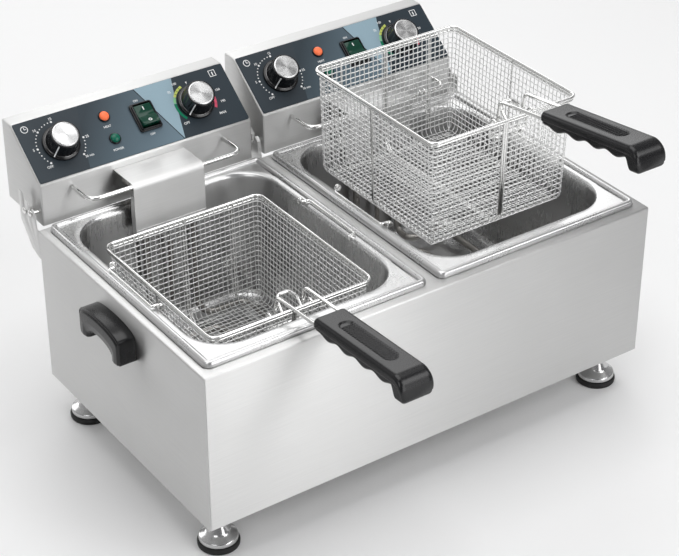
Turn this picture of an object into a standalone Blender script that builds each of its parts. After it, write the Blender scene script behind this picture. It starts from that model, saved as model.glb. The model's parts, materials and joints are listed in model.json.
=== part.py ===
"""Twin-well countertop deep fryer, built as separate pieces.

The frame is +X right, +Y to the rear and +Z up, in metres. The origin lies on the surface that the
feet stand on, under the middle of the whole machine. The sheet-metal body carries two lift-out oil
tanks. Behind each tank a control head hangs on open notches and holds the heating element, and each
head has a wire basket with a folding handle. The left basket is lowered into its tank and the right
basket hangs raised on its rail.
"""

import math

import bmesh
import bpy
from mathutils import Matrix, Vector

# ---------------------------------------------------------------- driving dimensions
SHEET = 0.001                 # sheet steel of the body, heads and tanks
GAP = 0.0003                  # clearance between touching pieces
FOOT_HEIGHT = 0.048
BODY_WIDTH = 0.560
BODY_DEPTH = 0.330
BODY_HEIGHT = 0.183
BODY_FRONT = -0.1395          # Y of the front face
WELL_CENTRE = 0.139           # X of each tank, head and basket
TANK_WIDTH = 0.262            # over the flange
TANK_FRONT_MARGIN = 0.0115    # body front to flange
TANK_LENGTH = 0.3145
OPENING_WIDTH = 0.238
OPENING_LENGTH = 0.286
OPENING_FRONT_MARGIN = 0.030  # body front to opening
OPENING_RADIUS = 0.046
TANK_DEPTH = 0.155
HEAD_WIDTH = 0.262
HEAD_STANDOFF = 0.0086        # body rear to head face
HEAD_FACE_HEIGHT = 0.048
HEAD_SLOPE_RUN = 0.0607
HEAD_SLOPE_RISE = 0.0461
HEAD_TOP_DEPTH = 0.0177
BASKET_WIDTH = 0.196
BASKET_LENGTH = 0.217
BASKET_DRAFT = 0.004          # how far the walls lean in over the height
BASKET_WALL_HEIGHT = 0.126
BASKET_CORNER = 0.012
RIM_WIRE = 0.002              # wire radii
STRAP_WIRE = 0.0015
HOOK_WIRE = 0.00125
HANDLE_WIRE = 0.002
RAIL_WIRE = 0.0025
LOWERED_RIM = 0.226           # height of each basket's rim wire
RAISED_RIM = 0.345
LOWERED_FRONT = 0.0560        # body front to basket front
RAISED_FRONT = 0.075
LOWERED_HANDLE_SHIFT = -0.003  # handle to the right of the basket's middle
RAISED_HANDLE_SHIFT = 0.011
HANDLE_SPREAD = 0.0165        # half the spacing of the handle's two wires
HANDLE_RISE = math.radians(3.4)
RAISED_HANDLE_LIFT = math.radians(4.5)
GRIP_REACH = 0.0630           # basket front to the grip
GRIP_LENGTH = 0.142
GRIP_WIDTH = 0.038

# ---------------------------------------------------------------- derived places
DECK = FOOT_HEIGHT + BODY_HEIGHT
BODY_REAR = BODY_FRONT + BODY_DEPTH
FLANGE_TOP = DECK + GAP + 0.0032
TANK_FLOOR = FLANGE_TOP - TANK_DEPTH
TANK_MIDDLE = BODY_FRONT + TANK_FRONT_MARGIN + TANK_LENGTH / 2
OPENING_MIDDLE = BODY_FRONT + OPENING_FRONT_MARGIN + OPENING_LENGTH / 2
HEAD_FACE = BODY_REAR + HEAD_STANDOFF
HEAD_BOTTOM = DECK - 0.002
SLOPE_FOOT = HEAD_BOTTOM + HEAD_FACE_HEIGHT
SLOPE_ANGLE = math.atan2(HEAD_SLOPE_RISE, HEAD_SLOPE_RUN)
SLOPE_LENGTH = math.hypot(HEAD_SLOPE_RISE, HEAD_SLOPE_RUN)
HEAD_TOP = SLOPE_FOOT + HEAD_SLOPE_RISE
HEAD_REAR = HEAD_FACE + HEAD_SLOPE_RUN + HEAD_TOP_DEPTH
RAIL_Y = BODY_FRONT + 0.300
RAIL_Z = DECK + 0.0348
SIDES = (("left", -WELL_CENTRE, -1), ("right", WELL_CENTRE, 1))

# Places on the sloping panel: X from the head's middle, distance up the slope.
DIAL_HEIGHT = 0.0390
TIMER_X = -0.088
THERMOSTAT_X = 0.0785
LAMP_X = -0.029
HEAT_LAMP_HEIGHT = 0.054
POWER_LAMP_HEIGHT = 0.026
SWITCH_X = 0.0155
SWITCH_HEIGHT = 0.040
PANEL_BOTTOM = 0.0020
PANEL_TOP = 0.0750
PANEL_WIDTH = 0.2590
PANEL_SHEET = 0.0006
PANEL_FACE = GAP + PANEL_SHEET
SHAFT_RADIUS = 0.003
SHAFT_HOLE = 0.0045
LAMP_BODY = 0.0045
LAMP_HOLE = 0.0049
SWITCH_BODY = (0.0240, 0.0316)
SWITCH_HOLE = (0.0250, 0.0326)
ELEMENT_RADIUS = 0.004
ELEMENT_LEG_X = 0.030
ELEMENT_LEG_Y = BODY_FRONT + 0.3016
ELEMENT_EXIT = HEAD_BOTTOM + 0.024
CAPILLARY_RADIUS = 0.0012
PIN_RADIUS = 0.0022
PINS = ((0.0072, 0.0157), (0.0205, 0.0130))   # behind the face, above the head's bottom
GLAND_X = 0.085
GLAND_HEIGHT = 0.020
GLAND_HOLE = 0.0085
ROCKER_PIVOT = 0.0020

# Tank bails: each folds about two lugs at the edge of the opening.
BAIL_WIRE = 0.0015
BAIL_PIVOT_X = OPENING_WIDTH / 2 - 0.0045
BAIL_REACH = 0.0080
BAIL_LENGTH = 0.088
BAIL_MIDDLE = BODY_FRONT + 0.170
BAIL_PIVOT_Z = FLANGE_TOP + BAIL_WIRE + 0.0010
LUG_LENGTH = 0.0045
LUG_GAP = 0.0012

# Baskets: the woven shell stands inside the rim, and the handle turns on a bar behind the front wall.
SHELL_INSET = 2 * RIM_WIRE + GAP
PIVOT_BACK = 0.0125
PIVOT_DROP = 0.0210
HOOK_X = 0.060
HOOK_TIE_DEPTH = 0.100
WALL_KNEE = BASKET_WALL_HEIGHT - 0.008
STRAP_FLOOR = -(BASKET_WALL_HEIGHT + GAP + STRAP_WIRE)

MATERIALS = {
    "brushed_steel": ((0.62, 0.62, 0.61), 0.32, 1.0),
    "tank_steel": ((0.52, 0.52, 0.52), 0.28, 1.0),
    "polished_wire": ((0.78, 0.78, 0.77), 0.18, 1.0),
    "mesh_wire": ((0.70, 0.70, 0.69), 0.25, 1.0),
    "element_steel": ((0.45, 0.44, 0.43), 0.35, 1.0),
    "black_plastic": ((0.018, 0.018, 0.019), 0.35, 0.0),
    "switch_green": ((0.010, 0.160, 0.085), 0.30, 0.0),
    "lamp_orange": ((0.85, 0.16, 0.05), 0.15, 0.0),
    "lamp_green": ((0.02, 0.35, 0.20), 0.15, 0.0),
    "panel_slate": ((0.045, 0.065, 0.085), 0.40, 0.0),
    "knob_cap": ((0.80, 0.80, 0.80), 0.22, 1.0),
    "foot_metal": ((0.60, 0.60, 0.60), 0.30, 1.0),
    "black_rubber": ((0.015, 0.015, 0.015), 0.75, 0.0),
    "component_plastic": ((0.55, 0.53, 0.48), 0.50, 0.0),
}


# ---------------------------------------------------------------- scene and helpers
def clear_scene():
    for old in list(bpy.data.objects):
        bpy.data.objects.remove(old, do_unlink=True)


def new_collection(name):
    collection = bpy.data.collections.new(name)
    bpy.context.scene.collection.children.link(collection)
    return collection


def make_material(name):
    colour, roughness, metallic = MATERIALS[name]
    material = bpy.data.materials.new(name)
    material.use_nodes = True
    shader = material.node_tree.nodes["Principled BSDF"]
    shader.inputs["Base Color"].default_value = (*colour, 1.0)
    shader.inputs["Roughness"].default_value = roughness
    shader.inputs["Metallic"].default_value = metallic
    return material


def temporary(data, name="working"):
    """Link a mesh or curve as a working object in the scene."""
    working = bpy.data.objects.new(name, data)
    bpy.context.scene.collection.objects.link(working)
    return working


def realised(working):
    """Return the evaluated mesh of a working object, with loose caps welded, and drop the object."""
    bpy.context.view_layer.update()
    graph = bpy.context.evaluated_depsgraph_get()
    mesh = bpy.data.meshes.new_from_object(working.evaluated_get(graph))
    mesh.transform(working.matrix_world)
    work = bmesh.new()
    work.from_mesh(mesh)
    bmesh.ops.remove_doubles(work, verts=work.verts, dist=1e-6)
    bmesh.ops.recalc_face_normals(work, faces=work.faces)
    work.to_mesh(mesh)
    work.free()
    bpy.data.objects.remove(working, do_unlink=True)
    return mesh


def combined(base, others, operation):
    """Union or cut a mesh with other meshes, one exact Boolean after another."""
    target = temporary(base)
    tools = [temporary(other) for other in others]
    for tool in tools:
        step = target.modifiers.new(operation.lower(), "BOOLEAN")
        step.operation = operation
        step.object = tool
    result = realised(target)
    for tool in tools:
        bpy.data.objects.remove(tool, do_unlink=True)
    return result


def union(*meshes):
    return combined(meshes[0], meshes[1:], "UNION")


def cut(base, *meshes):
    return combined(base, meshes, "DIFFERENCE")


def from_bmesh(work, name="shape"):
    mesh = bpy.data.meshes.new(name)
    work.to_mesh(mesh)
    work.free()
    return mesh


def box(low, high):
    """A block between two opposite corners."""
    work = bmesh.new()
    bmesh.ops.create_cube(work, size=1.0)
    low, high = Vector(low), Vector(high)
    size = high - low
    for vertex in work.verts:
        vertex.co = Vector((vertex.co[axis] + 0.5) * size[axis] + low[axis] for axis in range(3))
    return from_bmesh(work)


def cylinder(radius, start, end, segments=12):
    """A round bar between two points."""
    start, end = Vector(start), Vector(end)
    work = bmesh.new()
    bmesh.ops.create_cone(work, cap_ends=True, segments=segments, radius1=radius, radius2=radius,
                          depth=(end - start).length)
    turn = (end - start).to_track_quat("Z", "Y").to_matrix().to_4x4()
    work.transform(Matrix.Translation((start + end) / 2) @ turn)
    return from_bmesh(work)


def turned(profile, steps=16):
    """A solid of revolution about Z. The profile runs from the top of the axis to its bottom."""
    work = bmesh.new()
    ring = [work.verts.new((radius, 0.0, height)) for radius, height in profile]
    for first, second in zip(ring, ring[1:]):
        work.edges.new((first, second))
    working = temporary(from_bmesh(work))
    screw = working.modifiers.new("turn", "SCREW")
    screw.axis = "Z"
    screw.steps = steps
    screw.render_steps = steps
    screw.use_merge_vertices = True
    screw.merge_threshold = 0.00001
    return realised(working)


def rounded_path(points, radius, closed=False, steps=2):
    """Replace each inner corner of a polyline with an arc of the given radius."""
    points = [Vector(point) for point in points]
    count = len(points)
    path = []
    for index, corner in enumerate(points):
        if not closed and index in (0, count - 1):
            path.append(corner)
            continue
        before = points[index - 1] - corner
        after = points[(index + 1) % count] - corner
        reach = min(radius / math.tan(before.angle(after) / 2), 0.49 * before.length, 0.49 * after.length)
        start = corner + before.normalized() * reach
        end = corner + after.normalized() * reach
        for step in range(steps + 1):
            along = step / steps
            path.append((1 - along) ** 2 * start + 2 * along * (1 - along) * corner + along ** 2 * end)
    return path


def wire_curve(points, radius, closed=False, sides=1):
    """A round wire through the points, as a curve with filled ends."""
    curve = bpy.data.curves.new("wire", "CURVE")
    curve.dimensions = "3D"
    curve.bevel_depth = radius
    curve.bevel_resolution = sides
    curve.use_fill_caps = True
    spline = curve.splines.new("POLY")
    spline.points.add(len(points) - 1)
    for point, place in zip(spline.points, points):
        point.co = (*place, 1.0)
    spline.use_cyclic_u = closed
    return curve


def wire(points, radius, closed=False, sides=1):
    return realised(temporary(wire_curve(points, radius, closed, sides)))


def plate(outline, thickness, bevel=0.0, bevel_steps=1):
    """A flat outline in X and Y, extruded to both sides of Z = 0."""
    curve = bpy.data.curves.new("plate", "CURVE")
    curve.dimensions = "2D"
    curve.fill_mode = "BOTH"
    curve.extrude = thickness / 2 - bevel
    curve.bevel_depth = bevel
    curve.bevel_resolution = bevel_steps
    curve.offset = -bevel
    spline = curve.splines.new("POLY")
    spline.points.add(len(outline) - 1)
    for point, place in zip(spline.points, outline):
        point.co = (place[0], place[1], 0.0, 1.0)
    spline.use_cyclic_u = True
    return realised(temporary(curve))


def side_plate(outline, x_middle, thickness, bevel=0.0, bevel_steps=1):
    """A plate whose outline is given in Y and Z and whose thickness runs along X."""
    mesh = plate(outline, thickness, bevel, bevel_steps)
    axes = Matrix(((0, 0, 1, x_middle), (1, 0, 0, 0), (0, 1, 0, 0), (0, 0, 0, 1)))
    mesh.transform(axes)
    return mesh


def rounded_rectangle(width, length, radius, height, steps=3):
    """Points of a rectangle with round corners, centred on the Z axis."""
    points = []
    corners = ((1, 1, 0), (-1, 1, 1), (-1, -1, 2), (1, -1, 3))
    for side_x, side_y, quarter in corners:
        centre = Vector((side_x * (width / 2 - radius), side_y * (length / 2 - radius), height))
        for step in range(steps + 1):
            angle = (quarter + step / steps) * math.pi / 2
            points.append(centre + Vector((math.cos(angle), math.sin(angle), 0.0)) * radius)
    return points


def pressed_shell(rings, thickness):
    """A pan lofted through rings of equal point count, closed at the last ring, with even thickness."""
    work = bmesh.new()
    loops = [[work.verts.new(point) for point in ring] for ring in rings]
    for upper, lower in zip(loops, loops[1:]):
        count = len(upper)
        for index in range(count):
            following = (index + 1) % count
            work.faces.new((upper[index], upper[following], lower[following], lower[index]))
    work.faces.new(loops[-1])
    bmesh.ops.recalc_face_normals(work, faces=work.faces)
    working = temporary(from_bmesh(work))
    skin = working.modifiers.new("thickness", "SOLIDIFY")
    skin.thickness = thickness
    skin.offset = 0.0
    skin.use_even_offset = True
    return realised(working)


def shell(faces, thickness, offset):
    """Sheet metal from flat faces that share corners."""
    work = bmesh.new()
    corners = {}
    for face in faces:
        loop = []
        for point in face:
            key = tuple(round(value, 6) for value in point)
            if key not in corners:
                corners[key] = work.verts.new(point)
            loop.append(corners[key])
        work.faces.new(loop)
    bmesh.ops.recalc_face_normals(work, faces=work.faces)
    working = temporary(from_bmesh(work))
    skin = working.modifiers.new("thickness", "SOLIDIFY")
    skin.thickness = thickness
    skin.offset = offset
    skin.use_even_offset = True
    return realised(working)


def moved(mesh, shift):
    copy = mesh.copy()
    copy.transform(Matrix.Translation(shift))
    return copy


class Builder:
    """Adds finished pieces to the fryer's collection."""

    def __init__(self):
        self.parts = new_collection("deep_fryer")
        self.materials = {}

    def material(self, name):
        if name not in self.materials:
            self.materials[name] = make_material(name)
        return self.materials[name]

    def frame(self, name, location, turn_x):
        empty = bpy.data.objects.new(name, None)
        empty.location = location
        empty.rotation_euler = (turn_x, 0.0, 0.0)
        self.parts.objects.link(empty)
        return empty

    def tube(self, name, curve, material, location=(0, 0, 0), parent=None):
        """A bent wire or tube, kept as a curve object."""
        curve.materials.append(self.material(material))
        item = bpy.data.objects.new(name, curve)
        item.location = location
        item.parent = parent
        self.parts.objects.link(item)

    def piece(self, name, mesh, material, location=(0, 0, 0), parent=None, turn_x=0.0, smooth=True):
        item = bpy.data.objects.new(name, mesh)
        item.location = location
        item.rotation_euler = (turn_x, 0.0, 0.0)
        item.parent = parent
        mesh.materials.clear()
        mesh.materials.append(self.material(material))
        if smooth:
            mesh.shade_smooth()
            mesh.set_sharp_from_angle(angle=math.radians(35))
        self.parts.objects.link(item)


# ---------------------------------------------------------------- body
def ear_outline(root_y, root_top):
    """Hook plate behind the body, in Y and Z: three tabs with two open notches for the head's pins.

    Its root reaches forward to root_y below root_top and stays behind the deck above that.
    """
    rear = BODY_REAR
    slot = PIN_RADIUS + GAP + 0.0002
    tops = (DECK + 0.0220, DECK + 0.0270, DECK + 0.0320)
    outline = [(root_y, DECK - 0.0354), (rear + 0.0036, DECK - 0.0354), (rear + 0.019, DECK - 0.0300)]
    outline += [(rear + 0.0410, DECK - 0.0040), (rear + 0.0412, tops[2] - 0.0030)]
    outline += [(rear + 0.0385, tops[2]), (rear + 0.0350, tops[2] - 0.0010)]
    for index in (1, 0):
        behind_face, above_bottom = PINS[index]
        centre_y = HEAD_FACE + behind_face
        centre_z = HEAD_BOTTOM + above_bottom
        outline.append((centre_y + slot, tops[index + 1] - 0.0050))
        for step in range(7):
            angle = -math.pi * step / 6
            outline.append((centre_y + slot * math.cos(angle), centre_z + slot * math.sin(angle)))
        outline.append((centre_y - slot, tops[index] - 0.0020))
        outline.append((centre_y - slot - 0.0020, tops[index]))
    outline += [(rear + 0.0062, tops[0] - 0.0045), (rear + 0.0045, DECK + 0.0015)]
    outline += [(rear + 0.0030, root_top), (root_y, root_top)]
    return outline


def housing_mesh():
    """Deck, front and two sides folded from one sheet, with a tank cut-out under each flange."""
    half = BODY_WIDTH / 2
    low = FOOT_HEIGHT
    front, rear = BODY_FRONT, BODY_REAR
    faces = [[(-half, front, DECK), (half, front, DECK), (half, rear, DECK), (-half, rear, DECK)],
             [(-half, front, low), (half, front, low), (half, front, DECK), (-half, front, DECK)]]
    for side in (-half, half):
        faces.append([(side, rear, low), (side, front, low), (side, front, DECK), (side, rear, DECK)])
    body = shell(faces, SHEET, -1.0)
    ear = ear_outline(BODY_REAR - 0.006, DECK)
    body = union(body, *[side_plate(ear, side * (half - SHEET / 2), SHEET) for side in (-1, 1)])
    margin = 0.004
    wells = []
    for _, centre, _ in SIDES:
        outline = rounded_rectangle(OPENING_WIDTH + 2 * margin, OPENING_LENGTH + 2 * margin,
                                    OPENING_RADIUS + margin, 0.0)
        well = plate([(point.x, point.y) for point in outline], 0.02)
        well.transform(Matrix.Translation((centre, OPENING_MIDDLE, DECK)))
        wells.append(well)
    return cut(body, *wells)


def base_pan_mesh():
    """Bottom plate, back panel and the middle hook bracket between the two heads."""
    inner = BODY_WIDTH / 2 - SHEET - GAP
    bottom = box((-inner, BODY_FRONT + SHEET + GAP, FOOT_HEIGHT), (inner, BODY_REAR, FOOT_HEIGHT + SHEET))
    back = box((-inner, BODY_REAR - SHEET, FOOT_HEIGHT), (inner, BODY_REAR, DECK - SHEET - GAP))
    bracket = side_plate(ear_outline(BODY_REAR - SHEET / 2, DECK - 0.0120), 0.0, 0.004)
    return union(bottom, back, bracket)


def side_handle_mesh():
    """A black carrying handle: an arch that opens downwards, for the left side."""
    middle = BODY_FRONT + 0.170
    top = DECK - 0.0175
    reach = 0.0210
    half_length = 0.0403
    foot = DECK - 0.0525
    outline = []
    for step in range(13):
        angle = math.pi * step / 12
        swell = math.sin(angle) ** 0.8 if 0 < step < 12 else 0.0
        outline.append((middle + half_length * math.cos(angle), top - 0.0105 + 0.0105 * swell))
    outline.append((middle - half_length + 0.0005, foot + 0.003))
    outline.append((middle - half_length + 0.0035, foot))
    outline.append((middle - half_length + 0.0130, foot))
    half_gap = half_length - 0.0165
    for step in range(9):
        angle = math.pi * (1 - step / 8)
        outline.append((middle + half_gap * math.cos(angle), foot + 0.0020 + 0.0100 * math.sin(angle)))
    outline.append((middle + half_length - 0.0130, foot))
    outline.append((middle + half_length - 0.0035, foot))
    outline.append((middle + half_length - 0.0005, foot + 0.003))
    return side_plate(outline, -(BODY_WIDTH / 2 + GAP + reach / 2), reach, bevel=0.0030, bevel_steps=2)


def build_body(build):
    build.piece("housing", housing_mesh(), "brushed_steel", smooth=False)
    build.piece("base_pan", base_pan_mesh(), "brushed_steel", smooth=False)
    handle = side_handle_mesh()
    build.piece("side_handle_left", handle, "black_plastic")
    mirrored = handle.copy()
    mirrored.transform(Matrix.Diagonal((-1.0, 1.0, 1.0, 1.0)))
    mirrored.flip_normals()
    build.piece("side_handle_right", mirrored, "black_plastic")


# ---------------------------------------------------------------- feet
def build_feet(build):
    """Levelling feet: a metal bell on a threaded stem, standing on a rubber pad."""
    pad_height = 0.0065
    top = FOOT_HEIGHT - GAP
    bell_foot = pad_height + GAP
    bell = turned([(0.0, top), (0.0100, top), (0.0100, top - 0.006), (0.0085, top - 0.010),
                   (0.0088, top - 0.018), (0.0205, bell_foot + 0.002), (0.0205, bell_foot),
                   (0.0, bell_foot)])
    pad = turned([(0.0, pad_height), (0.0222, pad_height), (0.0222, 0.0015), (0.0210, 0.0), (0.0, 0.0)])
    rows = (("front", BODY_FRONT + 0.032), ("rear", BODY_REAR - 0.030))
    for row, y in rows:
        for side, sign in (("left", -1), ("right", 1)):
            place = (sign * 0.252, y, 0.0)
            build.piece(f"foot_bell_{row}_{side}", bell, "foot_metal", place)
            build.piece(f"foot_pad_{row}_{side}", pad, "black_rubber", place)


# ---------------------------------------------------------------- tanks

def tank_mesh():
    """A deep-drawn tank with a beaded flange and four pivot lugs. Its X is measured from the tank."""
    middle = Vector((0.0, TANK_MIDDLE, 0.0))
    opening = Vector((0.0, OPENING_MIDDLE, 0.0))
    plane = FLANGE_TOP - SHEET / 2
    edge_drop = DECK + GAP + SHEET / 2 - plane
    outer = ((0.0, edge_drop), (0.0005, 0.0020), (0.0030, 0.0034), (0.0058, 0.0020), (0.0066, 0.0))
    rings = []
    for inset, rise in outer:
        radius = max(0.0065 - inset, 0.0015)
        ring = rounded_rectangle(TANK_WIDTH - 2 * inset, TANK_LENGTH - 2 * inset, radius, plane + rise)
        rings.append([point + middle for point in ring])
    wall = ((0.0, 0.0), (0.0018, 0.0008), (0.0026, 0.0030), (0.0040, TANK_DEPTH - 0.0200),
            (0.0070, TANK_DEPTH - 0.0100), (0.0160, TANK_DEPTH - 0.0018), (0.0260, TANK_DEPTH - SHEET))
    for inset, drop in wall:
        width, length = OPENING_WIDTH - 2 * inset, OPENING_LENGTH - 2 * inset
        ring = rounded_rectangle(width, length, OPENING_RADIUS - inset, plane - drop)
        rings.append([point + opening for point in ring])
    pan = pressed_shell(rings, SHEET)
    lugs = []
    bores = []
    for side in (-1, 1):
        for end in (-1, 1):
            near = BAIL_MIDDLE + end * (BAIL_LENGTH / 2 + LUG_GAP)
            far = near + end * LUG_LENGTH
            low = (side * BAIL_PIVOT_X - 0.0032, min(near, far), FLANGE_TOP - 0.0075)
            high = (side * BAIL_PIVOT_X + 0.0032, max(near, far), BAIL_PIVOT_Z + 0.0030)
            lugs.append(box(low, high))
            axis_start = (side * BAIL_PIVOT_X, near - end * 0.002, BAIL_PIVOT_Z)
            axis_end = (side * BAIL_PIVOT_X, far + end * 0.002, BAIL_PIVOT_Z)
            bores.append(cylinder(BAIL_WIRE + GAP, axis_start, axis_end, 10))
    return cut(union(pan, *lugs), *bores)


def bail_curve(outward):
    """A lifting bail about its own pivot: two short legs, a long bar and two ends in the lugs."""
    half = BAIL_LENGTH / 2 - BAIL_WIRE
    tip = BAIL_LENGTH / 2 + LUG_GAP + LUG_LENGTH
    side = outward * BAIL_REACH
    points = [(0.0, -tip, 0.0), (0.0, -half, 0.0), (side, -half, 0.0)]
    points += [(x, -y, z) for x, y, z in reversed(points)]
    return wire_curve(rounded_path(points, 0.0022), BAIL_WIRE)


def build_tanks(build):
    tank = tank_mesh()
    for side, centre, sign in SIDES:
        build.piece(f"{side}_oil_tank", tank, "tank_steel", (centre, 0.0, 0.0))
        for label, outward in (("outer", sign), ("inner", -sign)):
            pivot = (centre + outward * BAIL_PIVOT_X, BAIL_MIDDLE, BAIL_PIVOT_Z)
            build.tube(f"{side}_tank_bail_{label}", bail_curve(outward), "polished_wire", pivot)


# ---------------------------------------------------------------- control heads
def panel_outline(width, low, high, radius):
    shape = rounded_rectangle(width, high - low, radius, 0.0, 2)
    return [(point.x, point.y + (low + high) / 2) for point in shape]


def on_slope(mesh):
    """Carry a mesh drawn on the panel (X, up the slope, out of it) into the head's own frame."""
    mesh.transform(Matrix.Translation((0.0, HEAD_FACE, SLOPE_FOOT)) @ Matrix.Rotation(SLOPE_ANGLE, 4, "X"))
    return mesh


def slope_openings():
    """Holes through the slope and its overlay for shafts, lamps and the switch."""
    rounds = [(TIMER_X, DIAL_HEIGHT, SHAFT_HOLE), (THERMOSTAT_X, DIAL_HEIGHT, SHAFT_HOLE)]
    rounds += [(LAMP_X, HEAT_LAMP_HEIGHT, LAMP_HOLE), (LAMP_X, POWER_LAMP_HEIGHT, LAMP_HOLE)]
    openings = [cylinder(radius, (x, height, -0.01), (x, height, 0.01)) for x, height, radius in rounds]
    half_width, half_length = SWITCH_HOLE[0] / 2, SWITCH_HOLE[1] / 2
    openings.append(box((SWITCH_X - half_width, SWITCH_HEIGHT - half_length, -0.01),
                        (SWITCH_X + half_width, SWITCH_HEIGHT + half_length, 0.01)))
    return openings


def head_housing_mesh(outboard):
    """Folded head cover: face, slope, top and two sides, with its hanging pins."""
    half = HEAD_WIDTH / 2
    profile = [(HEAD_FACE, HEAD_BOTTOM), (HEAD_FACE, SLOPE_FOOT), (HEAD_FACE + HEAD_SLOPE_RUN, HEAD_TOP),
               (HEAD_REAR, HEAD_TOP), (HEAD_REAR, HEAD_BOTTOM)]
    faces = []
    for first, second in zip(profile, profile[1:-1]):
        faces.append([(-half, *first), (half, *first), (half, *second), (-half, *second)])
    for side in (-half, half):
        faces.append([(side, *point) for point in profile])
    cover = shell(faces, SHEET, -1.0)
    root = half - SHEET / 2
    outer_end = BODY_WIDTH / 2 - WELL_CENTRE + 0.0012
    inner_end = WELL_CENTRE - GAP
    pins = []
    for behind_face, above_bottom in PINS:
        y, z = HEAD_FACE + behind_face, HEAD_BOTTOM + above_bottom
        for direction, end in ((outboard, outer_end), (-outboard, inner_end)):
            pins.append(cylinder(PIN_RADIUS, (direction * root, y, z), (direction * end, y, z), 10))
    cover = union(cover, *pins)
    holes = [on_slope(opening) for opening in slope_openings()]
    clearance = 0.0006
    tubes = ((-ELEMENT_LEG_X, ELEMENT_RADIUS), (0.0, CAPILLARY_RADIUS), (ELEMENT_LEG_X, ELEMENT_RADIUS))
    for x, radius in tubes:
        start, end = (x, HEAD_FACE - 0.01, ELEMENT_EXIT), (x, HEAD_FACE + 0.01, ELEMENT_EXIT)
        holes.append(cylinder(radius + clearance, start, end, 10))
    return cut(cover, *holes)


def head_back_mesh():
    """Bottom and rear closing plate of the head, folded from one sheet, with the gland's hole."""
    half = HEAD_WIDTH / 2 - SHEET - GAP
    front = HEAD_FACE + SHEET + GAP
    top = HEAD_TOP - SHEET - GAP
    profile = [(front, HEAD_BOTTOM), (HEAD_REAR, HEAD_BOTTOM), (HEAD_REAR, top)]
    faces = []
    for first, second in zip(profile, profile[1:]):
        faces.append([(-half, *first), (half, *first), (half, *second), (-half, *second)])
    plate_mesh = shell(faces, SHEET, -1.0)
    hole_z = HEAD_BOTTOM + GLAND_HEIGHT
    hole = cylinder(GLAND_HOLE, (GLAND_X, HEAD_REAR - 0.01, hole_z), (GLAND_X, HEAD_REAR + 0.01, hole_z))
    return cut(plate_mesh, hole)


def control_panel_mesh():
    """The printed overlay on the slope, drawn flat: X, up the slope, out of it."""
    overlay = plate(panel_outline(PANEL_WIDTH, PANEL_BOTTOM, PANEL_TOP, 0.002), PANEL_SHEET)
    overlay = moved(overlay, (0.0, 0.0, GAP + PANEL_SHEET / 2))
    return cut(overlay, *slope_openings())


def knob_mesh():
    """A round knob with a flared skirt, a recess for its cap and a blind bore for the shaft."""
    foot = PANEL_FACE + 0.0009
    body = turned([(0.0, 0.0205), (0.0148, 0.0205), (0.0148, 0.0222), (0.0160, 0.0222),
                   (0.0172, 0.0075), (0.0206, 0.0042), (0.0208, foot), (0.0, foot)], 20)
    bore = cylinder(SHAFT_RADIUS + GAP, (0, 0, -0.002), (0, 0, 0.0155))
    return cut(body, bore)


def knob_cap_mesh():
    return turned([(0.0, 0.0230), (0.0135, 0.0230), (0.0144, 0.0222), (0.0144, 0.0208), (0.0, 0.0208)], 20)


def timer_mesh():
    """Clockwork timer behind the panel, with its shaft."""
    depth = 0.030
    case = turned([(0.0, 0.0140), (SHAFT_RADIUS, 0.0140), (SHAFT_RADIUS, -0.0020),
                   (0.0205, -0.0020), (0.0205, -depth), (0.0, -depth)])
    tab = box((-0.0040, 0.0150, -0.0240), (0.0040, 0.0235, -0.0160))
    return union(case, tab)


def thermostat_mesh():
    """Capillary thermostat: switch block and shaft in the head, capillary and bulb in the tank.

    It is drawn in the head's frame, X from the head's middle.
    """
    block = box((-0.0150, -0.0150, -0.0260), (0.0150, 0.0150, -0.0020))
    shaft = cylinder(SHAFT_RADIUS, (0, 0, -0.0100), (0, 0, 0.0140))
    unit = union(block, shaft)
    unit.transform(Matrix.Translation((THERMOSTAT_X, DIAL_HEIGHT, 0.0)))
    unit = on_slope(unit)
    inside_y = HEAD_FACE + 0.030
    block_y = HEAD_FACE + 0.043
    block_z = HEAD_BOTTOM + 0.052
    bulb_top = TANK_FLOOR + 0.105
    bulb_low = TANK_FLOOR + 0.030
    route = [(THERMOSTAT_X, block_y, block_z), (THERMOSTAT_X, block_y, ELEMENT_EXIT),
             (THERMOSTAT_X, inside_y, ELEMENT_EXIT), (0.0, inside_y, ELEMENT_EXIT),
             (0.0, ELEMENT_LEG_Y, ELEMENT_EXIT), (0.0, ELEMENT_LEG_Y, bulb_top - 0.01)]
    capillary = wire(rounded_path(route, 0.007), CAPILLARY_RADIUS)
    bulb = cylinder(0.003, (0.0, ELEMENT_LEG_Y, bulb_low), (0.0, ELEMENT_LEG_Y, bulb_top), 10)
    return union(unit, capillary, bulb)


def switch_bezel_mesh():
    """Rocker switch case: a flange on the panel and a cup through it."""
    low = PANEL_FACE + GAP
    flange = plate(panel_outline(0.0275, -0.01725, 0.01725, 0.002), 0.0026)
    flange = moved(flange, (0.0, 0.0, low + 0.0013))
    half_x, half_y = SWITCH_BODY[0] / 2, SWITCH_BODY[1] / 2
    cup = box((-half_x, -half_y, -0.0220), (half_x, half_y, low + 0.0010))
    pocket = box((-0.0108, -0.0152, -0.0100), (0.0108, 0.0152, 0.0200))
    return cut(union(flange, cup), pocket)


def rocker_mesh():
    """The rocker about its pivot: its upper half is pressed in and its lower half stands out."""
    outline = [(-0.0125, 0.0085), (-0.0110, 0.0086), (-0.0060, 0.0056), (0.0, 0.0038),
               (0.0132, 0.0036), (0.0135, 0.0028), (0.0118, -0.0060), (0.0060, -0.0088),
               (-0.0060, -0.0088), (-0.0118, -0.0060)]
    return side_plate(outline, 0.0, 0.0208)


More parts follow.
